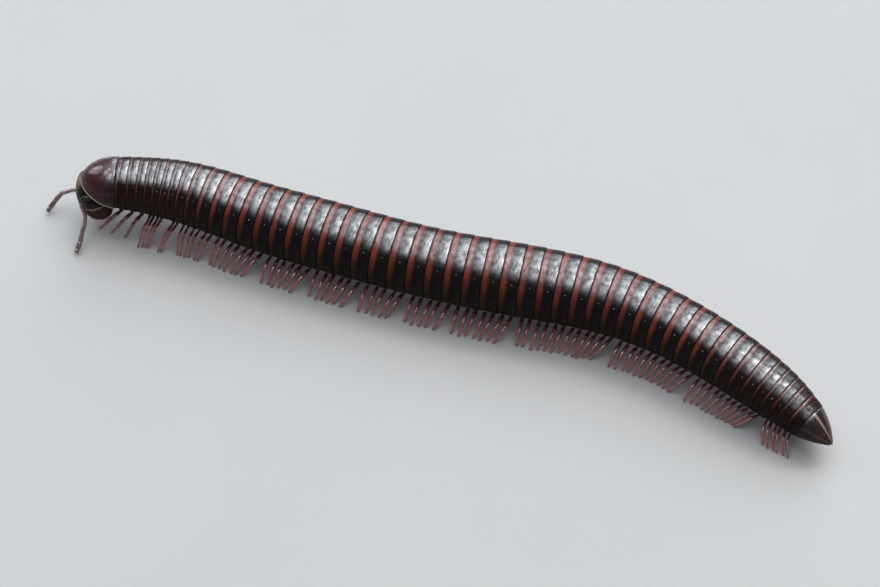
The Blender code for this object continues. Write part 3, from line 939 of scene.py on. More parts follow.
TRUNK_SPANS = (
    # The first and the last ring of each solid of the trunk, whose legs share one seed.
    (2, 6), (7, 11), (12, 16), (17, 21), (22, 26),
    (27, 31), (32, 36), (37, 41), (42, 46), (47, 50),
)


def leg_places(ring):
    """Where the ring's leg pairs grow, as distances along the body."""
    start, end = RING_ENDS[ring]
    shares = () if ring in LEGLESS_RINGS else DOUBLE_PAIR_PLACES
    if ring in SINGLE_PAIR_RINGS:
        shares = (SINGLE_PAIR_PLACE,)
    return [start + share * (end - start) for share in shares]


def foot_place(ring, along):
    """How far the foot leans towards the tail, and how high over the floor it is held."""
    if ring in HELD_PAIRS:
        return HELD_PAIRS[ring]
    for (start, first_lean, last_lean), (end, _, _) in zip(WAVES, WAVES[1:]):
        if start <= along < end:
            share = (along - start) / (end - start)
            return first_lean + share * (last_lean - first_lean), 0.0


print("pairs of legs:", sum(len(leg_places(ring)) for ring in RING_ENDS))

# %% The line of one leg
FOOT_CLEARANCE = 0.17
ON_FLOOR = np.array([1.0, 1.0, 0.0])


def leg_line(ring, along, side, chance):
    """A smooth line from the leg's root to the end of its last segment, and its thickness."""
    tailward, left_axis, _ = axes_at(along)
    radius = float(radius_at(along))
    centre = line_at(along)
    belly = centre[2] - radius * (1 - BELLY_FLATNESS)
    reach = LEG_REACH * radius * (1 + chance.uniform(-REACH_CHANGE, REACH_CHANGE))
    ring_length = RING_ENDS[ring][1] - RING_ENDS[ring][0]
    thickness = min(max(LEG_TO_RING_LENGTH * ring_length, THINNEST_LEG), THICKEST_LEG)
    if ring in HELD_PAIRS:
        reach *= HELD_REACH
    lean, lift = foot_place(ring, along)
    lean += chance.uniform(-LEAN_CHANGE, LEAN_CHANGE) * ring_length
    flat_tailward = unit(tailward * ON_FLOOR)
    stations = (
        (LEG_ROOT, belly + LEG_ROOT_DEPTH, 0.0),
        *((out * reach, lift + up * (belly - lift), share) for out, up, share in LEG_BENDS),
        (reach, lift + FOOT_CLEARANCE, 1.0),
    )
    points = [
        centre * ON_FLOOR + height * UP + lateral * side * left_axis + lean * share * flat_tailward
        for lateral, height, share in stations
    ]
    return smooth_through(distances_along(points), points), distances_along(points)[-1], thickness


for ring_number in (5, 25, 45):
    _, length, thickness = leg_line(ring_number, leg_places(ring_number)[0], 1, random.Random(1))
    print(f"a leg of ring {ring_number}: {length:.1f} mm long, {thickness:.2f} mm thick")

# %% Segments and claws on every leg
LEG_JOINTS = (0.0, 0.13, 0.31, 0.50, 0.65, 0.80, 1.0)
SEGMENT_WIDTHS = (1.22, 1.18, 1.15, 1.09, 1.02, 0.84)
SEGMENT_OVERLAP = 0.06
CLAW_LENGTH = 0.30
CLAW_WIDTH = 0.16
CLAW_SPLAY = 0.25
LEAST_CLAW = 0.05
LEAST_CLAW_FALL = 0.2

segment_points, segment_axes, segment_uppers, segment_widths, segment_places = [], [], [], [], []
claw_points, claw_axes, claw_uppers = [], [], []
for span, (first_ring, last_ring) in enumerate(TRUNK_SPANS, 1):
    chance = random.Random(span)
    rooted = [(ring, along) for ring in range(first_ring, last_ring + 1) for along in leg_places(ring)]
    for ring_number, along in rooted:
        # The held pairs keep the dark colour of a leg's root, as painted shade under the head.
        wider, shade = (HELD_THICKNESS, HELD_PAINTED_SHADE) if ring_number in HELD_PAIRS else (1.0, 1.0)
        for side in (1, -1):
            line, length, thickness = leg_line(ring_number, along, side, chance)
            joints = line(np.array(LEG_JOINTS) * length)
            outward = side * axes_at(along)[1]
            for segment, (start, end) in enumerate(zip(joints, joints[1:])):
                segment_points.append(start)
                segment_axes.append((end - start) * (1 + SEGMENT_OVERLAP))
                segment_uppers.append(outward + UP)
                segment_widths.append(0.5 * thickness * SEGMENT_WIDTHS[segment] * wider)
                segment_places.append(segment / (len(SEGMENT_WIDTHS) - 1) * shade)
            direction = unit(unit(joints[-1] - joints[-2]) + CLAW_SPLAY * outward)
            to_floor = max(LEAST_CLAW, joints[-1][2] / max(LEAST_CLAW_FALL, -direction[2]))
            claw_points.append(joints[-1])
            claw_axes.append(direction * min(CLAW_LENGTH, to_floor))
            claw_uppers.append(outward)
print("legs:", len(claw_points), "segments:", len(segment_points))

# %% [markdown]
# ## The finish of the legs
#
# A leg is almost black where it leaves the belly and grows redder, then pink, towards the foot, with
# a paler ring at each joint. A colour for each segment would step from one to the next. Here every
# segment knows its place on the leg and every point its height in the segment, so the colour runs on
# smoothly from joint to joint.

# %% The finish of the legs
LEG_ROOT_COLOUR = (0.030, 0.005, 0.007)
LEG_MIDDLE_COLOUR = (0.130, 0.014, 0.022)
LEG_TIP_COLOUR = (0.270, 0.070, 0.080)
LEG_JOINT_COLOUR = (0.420, 0.210, 0.200)
CLAW_COLOUR = (0.060, 0.020, 0.012)
PLACE_IN_SEGMENT = 0.18
MIDDLE_OF_LEG = (0.0, 0.45)
END_OF_LEG = (0.35, 1.1)
JOINT_EDGE = (0.10, 0.02)
JOINTS_FROM = (0.1, 0.5)
JOINT_STRENGTH = 0.6
LEG_MOTTLE = 0.25


def paint_legs(tree, place):
    share = shader_attribute(tree, "share")
    part = shader_attribute(tree, "place") + share * PLACE_IN_SEGMENT
    dark = tree.mix(part.between(*MIDDLE_OF_LEG), LEG_ROOT_COLOUR, LEG_MIDDLE_COLOUR)
    pink = tree.mix(part.between(*END_OF_LEG), dark, LEG_TIP_COLOUR)
    joint = share.between(*JOINT_EDGE) * part.between(*JOINTS_FROM) * JOINT_STRENGTH
    mottle = noise(tree, place, 0.25).between(0.4, 0.7) * LEG_MOTTLE
    return tree.mix(mottle, tree.mix(joint, pink, LEG_JOINT_COLOUR), LEG_ROOT_COLOUR)


def paint_claws(tree, place):
    return tree.mix(noise(tree, place, 0.2).between(0.4, 0.6), CLAW_COLOUR, LEG_ROOT_COLOUR)


legs_finish = cuticle("leg cuticle", paint_legs, 0.22, 0.012, 0.004, dust=0.1, wax=0.9, gloss=0.3)
claws_finish = cuticle("claw cuticle", paint_claws, 0.25, 0.004, 0.002, dust=0.0)

# %% Set the segments and the claws
SEGMENT_PROFILE = ((0.0, 0.62), (0.05, 0.84), (0.40, 0.92), (0.80, 1.0), (0.95, 0.92), (1.0, 0.66))
CLAW_PROFILE = ((-0.15, 0.75), (0.2, 1.0), (0.6, 0.6), (1.0, 0.12))

legs = set_copies(
    "legs", turned("segment shape", SEGMENT_PROFILE, 8), legs_finish, segment_points, segment_axes,
    segment_uppers, segment_widths, seed=5, unevenness=0.04, place=segment_places,
)
settle(legs, "rings", *TRUNK_NODES)
claws = set_copies(
    "claws", turned("claw shape", CLAW_PROFILE, 6), claws_finish, claw_points, claw_axes, claw_uppers,
    0.5 * CLAW_WIDTH, seed=7, unevenness=0.1,
)
settle(claws, "rings")

# %% [markdown]
# ## Bristles
#
# Fine stiff hairs stand on the lower leg segments and on the feelers, and a fringe of them hangs from
# the upper lip. They are far too many to place by hand. Points are scattered on each segment with a
# fixed seed, every one with an axis that leans outwards and forwards, and the tree sets a thin
# three-sided cone on each.

# %% Bristles on segments
BRISTLE_PROFILE = ((-0.1, 1.0), (1.0, 0.15))
BRISTLE_LENGTH = 0.20
BRISTLE_WIDTH = 0.022
BRISTLE_COLOUR = (0.160, 0.085, 0.060)
BRISTLE_SHARES = (0.2, 0.95)
BRISTLE_ROOT = 0.9
BRISTLE_LEAN = 0.8
OVER_BRISTLE = UP + 0.01
LEG_BRISTLES = 5
FIRST_BRISTLED_SEGMENT = 2


def bristles_on(starts, axes, widths, each, seed):
    """Places and directions of bristles round segments."""
    chance = np.random.default_rng(seed)
    starts, axes, widths = (
        np.repeat(np.asarray(values, float), each, axis=0) for values in (starts, axes, widths)
    )
    turns = chance.uniform(0, 2 * math.pi, len(starts))[:, None]
    shares = chance.uniform(*BRISTLE_SHARES, len(starts))[:, None]
    forward = unit(axes)
    aside = unit(np.cross(forward, OVER_BRISTLE))
    outward = np.cos(turns) * aside + np.sin(turns) * np.cross(forward, aside)
    roots = starts + shares * axes + BRISTLE_ROOT * widths[:, None] * outward
    return roots, unit(outward + BRISTLE_LEAN * forward)


def paint_bristles(tree, place):
    return tree.mix(noise(tree, place, 0.4).between(0.35, 0.65), BRISTLE_COLOUR, LEG_ROOT_COLOUR)


def set_bristles(name, places, directions, slot, length=BRISTLE_LENGTH):
    """Sets those bristles whose tips end over the floor."""
    free = (places + directions * length)[:, 2] > BRISTLE_WIDTH
    hairs = set_copies(
        name, bristle_shape, bristle_finish, places[free], directions[free] * length, OVER_BRISTLE,
        0.5 * BRISTLE_WIDTH, seed=13, unevenness=0.3,
    )
    settle(hairs, slot)


bristle_shape = turned("bristle shape", BRISTLE_PROFILE, 3)
bristle_finish = cuticle("bristle", paint_bristles, 0.4, 0.0, 0.001, dust=0.0)
bristled = [
    row for row in range(len(segment_points)) if row % len(SEGMENT_WIDTHS) >= FIRST_BRISTLED_SEGMENT
]
set_bristles("leg_bristles", *bristles_on(
    *(np.array(values)[bristled] for values in (segment_points, segment_axes, segment_widths)),
    LEG_BRISTLES, 17,
), "rings")

# %% [markdown]
# ## Collum
#
# The first ring carries no legs. It is a smooth dome that hides the neck and covers the back of the
# head like a helmet, with a thin pale rim along its lower edge. A cut sphere would have the wrong
# edge, so the dome is drawn in arcs across the body, each from the rim on one side to the other.
# Every point is told how far from the edge it lies, and the rim is both raised and painted by that.

# %% The dome's arcs
DOME_LENGTH = 5.6
DOME_FRONT = -2.75
MARGIN_AT_FRONT = 0.45
MARGIN_FALL = 2.75
COLLUM_REAR = COLLUM_END - 0.06
COLLUM_ROWS = 60
COLLUM_COLUMNS = 121
FIRST_ARC_TURN = 0.05
FRONT_CROWDING = 0.9
RIM_CROWDING = 1.5


def collum_arc(along):
    """The dome's radius and the turn of its lower edge at this distance along the head's axis."""
    reach = (COLLUM_END - along) / DOME_LENGTH
    radius = float(radius_at(COLLUM_END)) * np.sqrt(np.clip(1 - reach**2, 0.0, None))
    margin = MARGIN_AT_FRONT - MARGIN_FALL * (along - DOME_FRONT) / DOME_LENGTH
    return radius, np.arccos(np.clip(margin / np.maximum(radius, 1e-6), -1.0, 1.0))


tips = np.linspace(DOME_FRONT, DOME_FRONT + 0.4, 400)
first_along = tips[np.argmax(collum_arc(tips)[1] > FIRST_ARC_TURN)]
row_shares = 1 - np.cos(0.5 * math.pi * np.linspace(0, 1, COLLUM_ROWS) ** FRONT_CROWDING)
collum_alongs = first_along + row_shares * (COLLUM_REAR - first_along)
arc_shares = np.linspace(-1, 1, COLLUM_COLUMNS)
arc_shares = np.sign(arc_shares) * (1 - (1 - np.abs(arc_shares)) ** RIM_CROWDING)
print(f"the dome starts {-first_along:.2f} mm before the head's origin")

# %% A closed shell for the dome
RIM_MIDDLE = 0.07
RIM_WIDTH = 0.16
RIM_RISE = 0.045
GROOVE_MIDDLE = 0.27
GROOVE_WIDTH = 0.09
GROOVE_DEPTH = 0.04
ROLL_WIDTH = 0.07
ROLL_DEPTH = 0.12
SHELL_THICKNESS = 0.28
THINNEST_SHELL = 0.3


def near(distance, width):
    """1 on a line and 0 away from it, with a fall of this width."""
    return np.exp(-((distance / width) ** 2))


def across_body(along, radii, turns):
    """Points in the head's axes, at these radii and turns round them."""
    return np.stack([along + 0 * turns, radii * np.sin(turns), radii * np.cos(turns)], axis=-1)


margin_shares = 1 - np.cos(np.linspace(0, 0.5 * math.pi, 600))
margin_alongs = first_along + margin_shares * (COLLUM_REAR - first_along)
margin_line = across_body(margin_alongs, *collum_arc(margin_alongs))
shell_rows, shell_edges = [], []
for along in collum_alongs:
    radius, widest = collum_arc(along)
    turns = widest * arc_shares
    points = across_body(along, radius, np.abs(turns))
    edge = np.linalg.norm(points[:, None] - margin_line[None], axis=2).min(axis=1)
    rim = RIM_RISE * near(edge - RIM_MIDDLE, 0.5 * RIM_WIDTH)
    groove = GROOVE_DEPTH * near(edge - GROOVE_MIDDLE, GROOVE_WIDTH)
    roll = ROLL_DEPTH * near(COLLUM_REAR - along, ROLL_WIDTH)
    outer = radius + np.minimum(1.0, radius) * (rim - groove) - roll
    inner = np.maximum(outer - SHELL_THICKNESS, THINNEST_SHELL * outer)
    reaches = np.concatenate([outer, inner[::-1]])
    shell_rows.append(across_body(along, reaches, np.concatenate([turns, turns[::-1]])))
    shell_edges.append(np.concatenate([edge, edge[::-1] + RIM_WIDTH]))
collum_grid = np.array(shell_rows)
print("rows and points of the shell:", *collum_grid.shape[:2])

# %% [markdown]
# ## The finish of the collum
#
# The dome is a deep wine red that turns black at its rear, with a cream rim. A separate strip for the
# rim would have to be fitted all along the edge. The distance from the edge is already known at every
# point, so one finish paints the rim where it is small. The top is polished in patches, which breaks
# the highlight as wear does on the real shield.

# %% The collum's finish and piece
COLLUM_RED = (0.024, 0.0070, 0.0080)
COLLUM_LOW = (0.034, 0.0085, 0.0068)
COLLUM_REAR_BLACK = (0.008, 0.006, 0.008)
RIM_PALE = (0.50, 0.41, 0.355)
RIM_PAINT = (0.27, 0.20)
COLLUM_MOTTLE = 1.2
COLLUM_FALL = (2.8, -1.0)
COLLUM_BLACKENING = (0.3, 2.6)
COLLUM_TOP = (0.6, 3.2)
WRINKLE_PITCHES = (11.0, 3.0, 7.0)
WRINKLE_HEIGHT = 0.011


def paint_collum(tree, place):
    edge, along, upness = shader_attributes(tree, "edge", "along", "upness")
    mottle = (noise(tree, place, 1.2, FINE_DETAIL) - 0.5) * COLLUM_MOTTLE
    red = tree.mix(upness.between(*COLLUM_FALL), COLLUM_RED, COLLUM_LOW)
    dome = tree.mix((along + mottle).between(*COLLUM_BLACKENING), red, COLLUM_REAR_BLACK)
    return tree.mix(edge.between(*RIM_PAINT), dome, RIM_PALE)


def collum_relief(tree, place):
    """A few fine curved wrinkles low on the dome's sides."""
    edge, along = shader_attributes(tree, "edge", "along")
    across, length, stray = WRINKLE_PITCHES
    wave = edge * across + along * length + (noise(tree, place, 1.0) - 0.5) * stray
    zone = edge.between(1.6, 2.4) * edge.between(4.4, 3.4) * along.between(-0.6, 0.4)
    return wave.sine() * zone * WRINKLE_HEIGHT


def collum_wax(tree, place):
    """The top of the dome is polished in patches and worn dull between them."""
    patches = noise(tree, place, 1.1, FINE_DETAIL).between(0.30, 0.70)
    shiny = noise(tree, place, 0.75).between(0.50, 0.66)
    streaks = noise(tree, place, 0.35, FINE_DETAIL, (0.4, 2.0, 2.0)).between(0.35, 0.65)
    worn = 0.10 + patches * 0.22 + shiny * 0.62 + streaks * 0.15
    return worn * shader_attribute(tree, "upness").between(*COLLUM_TOP)


collum_finish = cuticle(
    "collum cuticle", paint_collum, 0.27, 0.03, 0.004, dust=0.15, wax=collum_wax, gloss=0.12,
    relief=collum_relief,
)
collum = loft(
    "collum_shield", head_points(collum_grid) * MM, collum_finish,
    edge=shell_edges, along=collum_grid[..., 0], upness=collum_grid[..., 2],
)
settle(collum, "collum", "collum")

# %% [markdown]
# ## Head
#
# Under the dome hangs the head: a smooth capsule with swollen cheeks, which are the bases of the
# jaws, and a notched upper lip at the bottom of the face. It could be sculpted by hand, but then its
# two sides would differ. It is drawn as level sections from top to bottom instead, and each of their
# points is pushed out where a cheek swells and in where a seam or a socket lies.

# %% Sections of the head
HEAD_SECTIONS = (
    # The height of a section, its half width, its front and its back.
    (-6.5, 1.4, -1.9, 0.6), (-5.6, 2.4, -2.7, 1.5), (-4.2, 3.05, -3.4, 2.0), (-2.6, 3.4, -3.75, 2.2),
    (-0.8, 3.35, -3.6, 2.2), (0.8, 2.8, -2.9, 1.9), (1.9, 1.4, -1.8, 0.8),
)
HEAD_ROWS = 110
HEAD_COLUMNS = 160
CHEEK_CENTRE = (-0.15, 2.05, -4.1)
CHEEK_SIZE = (2.2, 1.62, 2.3)
CHEEK_BLEND = 0.10
CHEEK_EDGE = 0.05

section_heights, section_widths, section_fronts, section_backs = zip(*HEAD_SECTIONS)
half_width_at = smooth_through(section_heights, section_widths)
front_at = smooth_through(section_heights, section_fronts)
back_at = smooth_through(section_heights, section_backs)


def cheek_reach(heights, turns, middles):
    """How far a level line from the head's axis runs before it leaves the cheek, or 0."""
    cheek_along, cheek_out, cheek_height = CHEEK_CENTRE
    level = np.sqrt(np.clip(1 - ((heights - cheek_height) / CHEEK_SIZE[2]) ** 2, 0, None))
    long, wide = CHEEK_SIZE[0] * level + 1e-6, CHEEK_SIZE[1] * level + 1e-6
    ahead, out = -np.cos(turns), np.abs(np.sin(turns))
    from_along, from_out = middles - cheek_along, -cheek_out
    a = (ahead / long) ** 2 + (out / wide) ** 2
    b = 2 * (from_along * ahead / long**2 + from_out * out / wide**2)
    c = (from_along / long) ** 2 + (from_out / wide) ** 2 - 1
    inside = b**2 - 4 * a * c
    return np.where(inside > 0, (-b + np.sqrt(np.clip(inside, 0, None))) / (2 * a), 0.0)

# %% The grid of the head


def ramp(values, start, end):
    """Goes evenly from 0 to 1 as the values go from start to end."""
    return np.clip((values - start) / (end - start), 0, 1)


head_heights = np.linspace(section_heights[0], section_heights[-1], HEAD_ROWS)[:, None]
head_turns = (np.arange(HEAD_COLUMNS) * 2 * math.pi / HEAD_COLUMNS)[None, :]
half_widths, fronts, backs = (f(head_heights) for f in (half_width_at, front_at, back_at))
middles, half_lengths = 0.5 * (fronts + backs), 0.5 * (backs - fronts)
capsule = 1 / np.hypot(np.cos(head_turns) / half_lengths, np.sin(head_turns) / half_widths)
cheeks = cheek_reach(head_heights, head_turns, middles)
reach = 0.5 * (capsule + cheeks + np.hypot(capsule - cheeks, CHEEK_BLEND))
sideways = np.abs(np.angle(np.exp(1j * head_turns)))
on_cheek = 1 / (1 + np.exp(-(cheeks - capsule) / CHEEK_EDGE))
print("head reaches out", round(float((reach * np.sin(head_turns)).max()), 2), "mm on each side")

# %% [markdown]
# ## The face in relief
#
# The plates of the head have grown together, but their seams still show as grooves. Cutting them
# with thin solids would leave hard edges. On a grid of reaches a groove is a small fall of the reach
# near the groove's line, and the lip's notch a rise of its lowest points. Turns are measured from
# the middle of the face, and times three they are close to millimetres.

# %% Grooves of the head, and the toothed notch of its upper lip
SEAM_WIDTH = 0.12
TURN_TO_MM = 3
FACE_HALF_TURN = 0.9
LIP_SWELLING = 0.16
END_LENGTH = 0.5
END_SHARE = 0.55
LABRUM_NOTCH = 0.34
LABRUM_NOTCH_TURN = 0.42
LABRUM_TOOTH = 0.07
LABRUM_TOOTH_TURN = 0.20

on_jaw = ramp(head_heights, -3.4, -3.8)
above_lip = head_heights + 5.45 + 0.5 * np.minimum(sideways, 1.0) ** 2
grooves = (
    # The distance to the groove's line, its depth, its width and how much of it shows.
    (cheeks - capsule + 0.02, 0.10, SEAM_WIDTH, 1),
    (head_heights + 3.35 + 0.9 * sideways**2, 0.07, 0.2, ramp(sideways, 1.3, 0.3)),
    (sideways * TURN_TO_MM, 0.05, SEAM_WIDTH, head_heights > -2.4),
    (above_lip, 0.10, SEAM_WIDTH, sideways < FACE_HALF_TURN),
    ((sideways - 1.75) * TURN_TO_MM, 0.09, SEAM_WIDTH, on_cheek),
    ((sideways - 2.45) * TURN_TO_MM, 0.08, SEAM_WIDTH, on_jaw),
    ((math.pi - sideways) * TURN_TO_MM, 0.07, SEAM_WIDTH, on_jaw),
    (head_heights + 4.9, 0.07, SEAM_WIDTH, ramp(sideways, 2.45, 2.55)),
)
reach += LIP_SWELLING * near(head_heights + 4.5, 0.8) * near(sideways, 0.55)
for distance, depth, width, shown in grooves:
    reach -= depth * near(distance, width) * shown
from_end = np.minimum(head_heights - head_heights[0], head_heights[-1] - head_heights)
reach *= END_SHARE + (1 - END_SHARE) * np.sqrt(1 - (1 - ramp(from_end, 0, END_LENGTH)) ** 2)
teeth = LABRUM_TOOTH * np.cos(sideways * 2 * math.pi / LABRUM_TOOTH_TURN)
teeth = teeth * (sideways < 1.5 * LABRUM_TOOTH_TURN)
notch = (LABRUM_NOTCH * near(sideways, LABRUM_NOTCH_TURN) - teeth) * ramp(head_heights, -5.5, -6.3)
head_grid = np.stack([
    middles - reach * np.cos(head_turns), reach * np.sin(head_turns), head_heights + notch,
], axis=-1)
print("grooves:", len(grooves), "deepest notch in the lip:", round(float(notch.max()), 2), "mm")

# %% Sockets of the feelers
ANTENNA_SOCKET = (-2.6, 2.75, -3.1)
SOCKET_RADIUS = 0.72
SOCKET_DEPTH = 0.75
SOCKET_RIM = 0.10
SOCKET_RIM_WIDTH = 0.12

socket_rims = np.zeros(head_grid.shape[:2])
for side in (1, -1):
    inward = unit(np.array([0.6, -side, 0.1]))
    offset = head_grid - np.array(ANTENNA_SOCKET) * (1, side, 1)
    forward = offset @ inward
    aside = np.linalg.norm(offset - forward[..., None] * inward, axis=-1)
    floor_depth = np.sqrt(np.clip(SOCKET_RADIUS**2 - aside**2, 0, None))
    facing = (head_grid[..., 1] * side > 1.0) & (head_grid[..., 0] < -0.8)
    push = np.where(facing & (aside < SOCKET_RADIUS), np.maximum(0.0, floor_depth - forward), 0.0)
    rim = near(aside - SOCKET_RADIUS - SOCKET_RIM, SOCKET_RIM_WIDTH) * facing
    head_grid += (np.minimum(push, SOCKET_DEPTH) - SOCKET_RIM * rim)[..., None] * inward
    socket_rims += rim
print("points in the two sockets' rims:", int((socket_rims > 0.5).sum()))

# %% The back of the head drawn in under the dome
TUCK_DEPTH = 0.32
TUCK_SLOPE = 1.1
TUCK_STEPS = 3

dome_size = np.array([DOME_LENGTH, float(radius_at(COLLUM_END)), float(radius_at(COLLUM_END))])
margin_slope = MARGIN_FALL / DOME_LENGTH
untucked = head_grid.copy()
for _ in range(TUCK_STEPS):
    under = MARGIN_AT_FRONT - margin_slope * (head_grid[..., 0] - DOME_FRONT) - head_grid[..., 2]
    under /= math.hypot(1.0, margin_slope)
    scaled = (head_grid - (COLLUM_END, 0.0, 0.0)) / dome_size
    level = np.linalg.norm(scaled, axis=-1)
    outward = scaled / dome_size
    stands_out = (level - 1) * level / np.linalg.norm(outward, axis=-1)
    too_far = np.maximum(0.0, stands_out + TUCK_DEPTH - TUCK_SLOPE * np.maximum(under, 0.0))
    head_grid -= too_far[..., None] * unit(outward)
tucked_by = np.linalg.norm(head_grid - untucked, axis=-1)
print("most that the head is drawn in below the rim:", round(float(tucked_by[under > 0].max()), 2), "mm")

# %% [markdown]
# ## The finish of the head
#
# The head is nearly black at the temples, brown on the cheeks, and pale and veined down the middle of
# the face, with light lines in its seams. Where it lies under the dome it is painted dark as shade.
# Painting it by hand on an unwrapped map would need a picture. The rules that shaped the head already
# say which point lies on a cheek, in a seam, low on the lip or under the dome, so those numbers go
# with the mesh and choose the colours.

# %% The head's finish and piece
HEAD_DARK = (0.006, 0.0055, 0.0045)
CHEEK_BROWN = (0.046, 0.012, 0.008)
FACE_PALE = (0.120, 0.088, 0.072)
SEAM_PALE = (0.300, 0.230, 0.190)
LIP_BROWN = (0.085, 0.030, 0.018)
TEMPLE_MOTTLE = 0.5
CHEEK_MOTTLE = 0.6
BLOTCH_DETAIL = 4.0
FACE_LEAST = 0.25
FACE_BLOTCHES = 0.6
LIP_STRENGTH = 0.8
HEAD_SEAM_STRENGTH = 0.75
HEAD_WAX = 0.06
FOLD_HEIGHT = 0.05
HEAD_PITS_PER_MM = 2.4
HEAD_PIT_EDGE = (0.16, 0.04)
HEAD_PIT_DEPTH = 0.03
CHEEK_SEAM = 0.10
FACE_WIDTH = 0.50
UNDER_DOME_SHADE_HEIGHT = 0.85


def paint_head(tree, place):
    cheek, edge, low, front, tucked = shader_attributes(tree, "cheek", "edge", "low", "front", "tucked")
    mottle = noise(tree, place, 0.7, FINE_DETAIL)
    temple = tree.mix(mottle.between(0.45, 0.7) * TEMPLE_MOTTLE, HEAD_DARK, CHEEK_BROWN)
    swollen = tree.mix(mottle.between(0.65, 0.4) * CHEEK_MOTTLE, CHEEK_BROWN, HEAD_DARK)
    skin = tree.mix(cheek, temple, swollen)
    blotches = noise(tree, place, 0.9, BLOTCH_DETAIL, (1.0, 1.0, 2.5)).between(0.30, 0.62)
    face = tree.mix(front * (FACE_LEAST + blotches * FACE_BLOTCHES), skin, FACE_PALE)
    lip = tree.mix(low * LIP_STRENGTH, face, LIP_BROWN)
    seamed = tree.mix(edge * HEAD_SEAM_STRENGTH, lip, SEAM_PALE)
    # Where the head lies under the dome it is painted dark as shade.
    return tree.mix(tucked, seamed, HEAD_DARK)


def head_wax(tree, place):
    return HEAD_WAX - shader_attribute(tree, "tucked") * HEAD_WAX


def head_relief(tree, place):
    """Pits scattered over the head and fine folds that run down to the lip."""
    folds = noise(tree, place, 0.5, FINE_DETAIL, (0.35, 0.35, 4.0)) * shader_attribute(tree, "front")
    return folds * FOLD_HEIGHT - spots(tree, place, HEAD_PITS_PER_MM, *HEAD_PIT_EDGE) * HEAD_PIT_DEPTH


head_finish = cuticle(
    "head cuticle", paint_head, 0.30, 0.035, 0.006, dust=0.2, wax=head_wax, gloss=0.04,
    relief=head_relief,
)
head = loft(
    "head_capsule", head_points(head_grid) * MM, head_finish,
    cheek=on_cheek,
    edge=near(cheeks - capsule, CHEEK_SEAM) * (cheeks > 0) + 0.8 * socket_rims,
    # Points under the dome's rim, painted dark as shade.
    tucked=ramp(sideways, 0.45, 0.75) * near(under, UNDER_DOME_SHADE_HEIGHT),
    low=ramp(head_heights, -5.3, -5.8) + 0 * sideways,
    front=near(sideways, FACE_WIDTH) * ramp(head_heights, 1.8, 0.6),
)
settle(head, "head", "head")

# %% The fringe of the upper lip
FRINGE_TURNS = np.linspace(-0.62, 0.62, 17)
FRINGE_RISE = 0.62
FRINGE_SPREAD = 0.35
FRINGE_LENGTH = 0.42

fringe_row = int(np.argmin(np.abs(section_heights[0] + FRINGE_RISE - head_heights)))
fringe_columns = np.round(FRINGE_TURNS * HEAD_COLUMNS / (2 * math.pi)).astype(int) % HEAD_COLUMNS
fringe_aims = np.stack([
    -FRINGE_SPREAD * np.cos(FRINGE_TURNS), FRINGE_SPREAD * np.sin(FRINGE_TURNS), 0 * FRINGE_TURNS - 1,
], axis=1)
fringe_roots = head_points(head_grid[fringe_row, fringe_columns])
set_bristles("lip_bristles", fringe_roots, unit(fringe_aims) @ HEAD_AXES, "head", FRINGE_LENGTH)

# %% [markdown]
# ## Eyes
#
# A millipede sees with a patch of small lenses on each temple, set in rows like tiles. Each lens is
# a low dome. A bumpy finish on one smooth body would show no domes from the side. So the patch's
# curved base is one small body, and real lenses are set on it by the tree, from a honeycomb of
# points that stops at the patch's edge.

# %% Lenses on a curved patch
EYE_CENTRE = (-1.65, 2.74, -1.0)
EYE_SIZE = (0.95, 0.34, 0.62)
LENS_PITCH = 0.20
LENS_ROW_SHARE = 0.87
LENS_WIDTH_SHARE = 0.47
LENS_HEIGHT = 0.07
LENS_ROWS = 4
LENS_COLUMNS = 6
PATCH_SHARE = 0.92
BALL_ROWS = 25
BALL_COLUMNS = 40
BALL_POLE = 0.02
LENS_PROFILE = ((-0.8, 1.0), (0.0, 1.0), (0.45, 0.88), (0.8, 0.6), (1.0, 0.2))
EYE_BLACK = (0.005, 0.005, 0.005)
EYE_GREEN = (0.009, 0.012, 0.008)


def paint_eyes(tree, place):
    return tree.mix(noise(tree, place, 0.3).between(0.35, 0.65), EYE_BLACK, EYE_GREEN)


eye_finish = cuticle("eye lens", paint_eyes, 0.18, 0.0, 0.001, dust=0.0, wax=0.08, gloss=0.2)
lens_shape = turned("lens shape", LENS_PROFILE, 10)
lens_places = []
for row in range(-LENS_ROWS, LENS_ROWS + 1):
    for column in range(-LENS_COLUMNS, LENS_COLUMNS + 1):
        along = (column + 0.5 * (row % 2)) * LENS_PITCH / EYE_SIZE[0]
        high = row * LENS_ROW_SHARE * LENS_PITCH / EYE_SIZE[2]
        if along * along + high * high < PATCH_SHARE:
            lens_places.append((along, math.sqrt(1 - along * along - high * high), high))
polars = np.linspace(BALL_POLE, math.pi - BALL_POLE, BALL_ROWS)[:, None]
rounds = (np.arange(BALL_COLUMNS) * 2 * math.pi / BALL_COLUMNS)[None, :]
ball = np.stack([
    np.sin(polars) * np.cos(rounds), np.sin(polars) * np.sin(rounds), np.cos(polars) + 0 * rounds,
], axis=-1)
for name, side in (("eye_left", 1), ("eye_right", -1)):
    centre = np.array(EYE_CENTRE) * (1, side, 1)
    outward = np.array(lens_places) * (1, side, 1)
    lenses = set_copies(
        name + "_lenses", lens_shape, eye_finish, head_points(centre + outward * EYE_SIZE),
        unit(outward / EYE_SIZE) @ HEAD_AXES * LENS_HEIGHT, UP, LENS_WIDTH_SHARE * LENS_PITCH,
        seed=11, unevenness=0.06,
    )
    settle(lenses, "eye", name)
    base = loft(name + "_base", head_points(ball * EYE_SIZE + centre) * MM, eye_finish)
    settle(base, "eye", name)

# %% [markdown]
# ## Feelers
#
# A feeler is a chain of seven segments, each narrow where it starts and wider where it ends, and the
# last one short, with four sense cones at its tip. One bent tube would have no joints. The segments
# follow a bent line instead, so the same tree sets them: each point of the carrier is a joint, and
# its axis runs to the next.

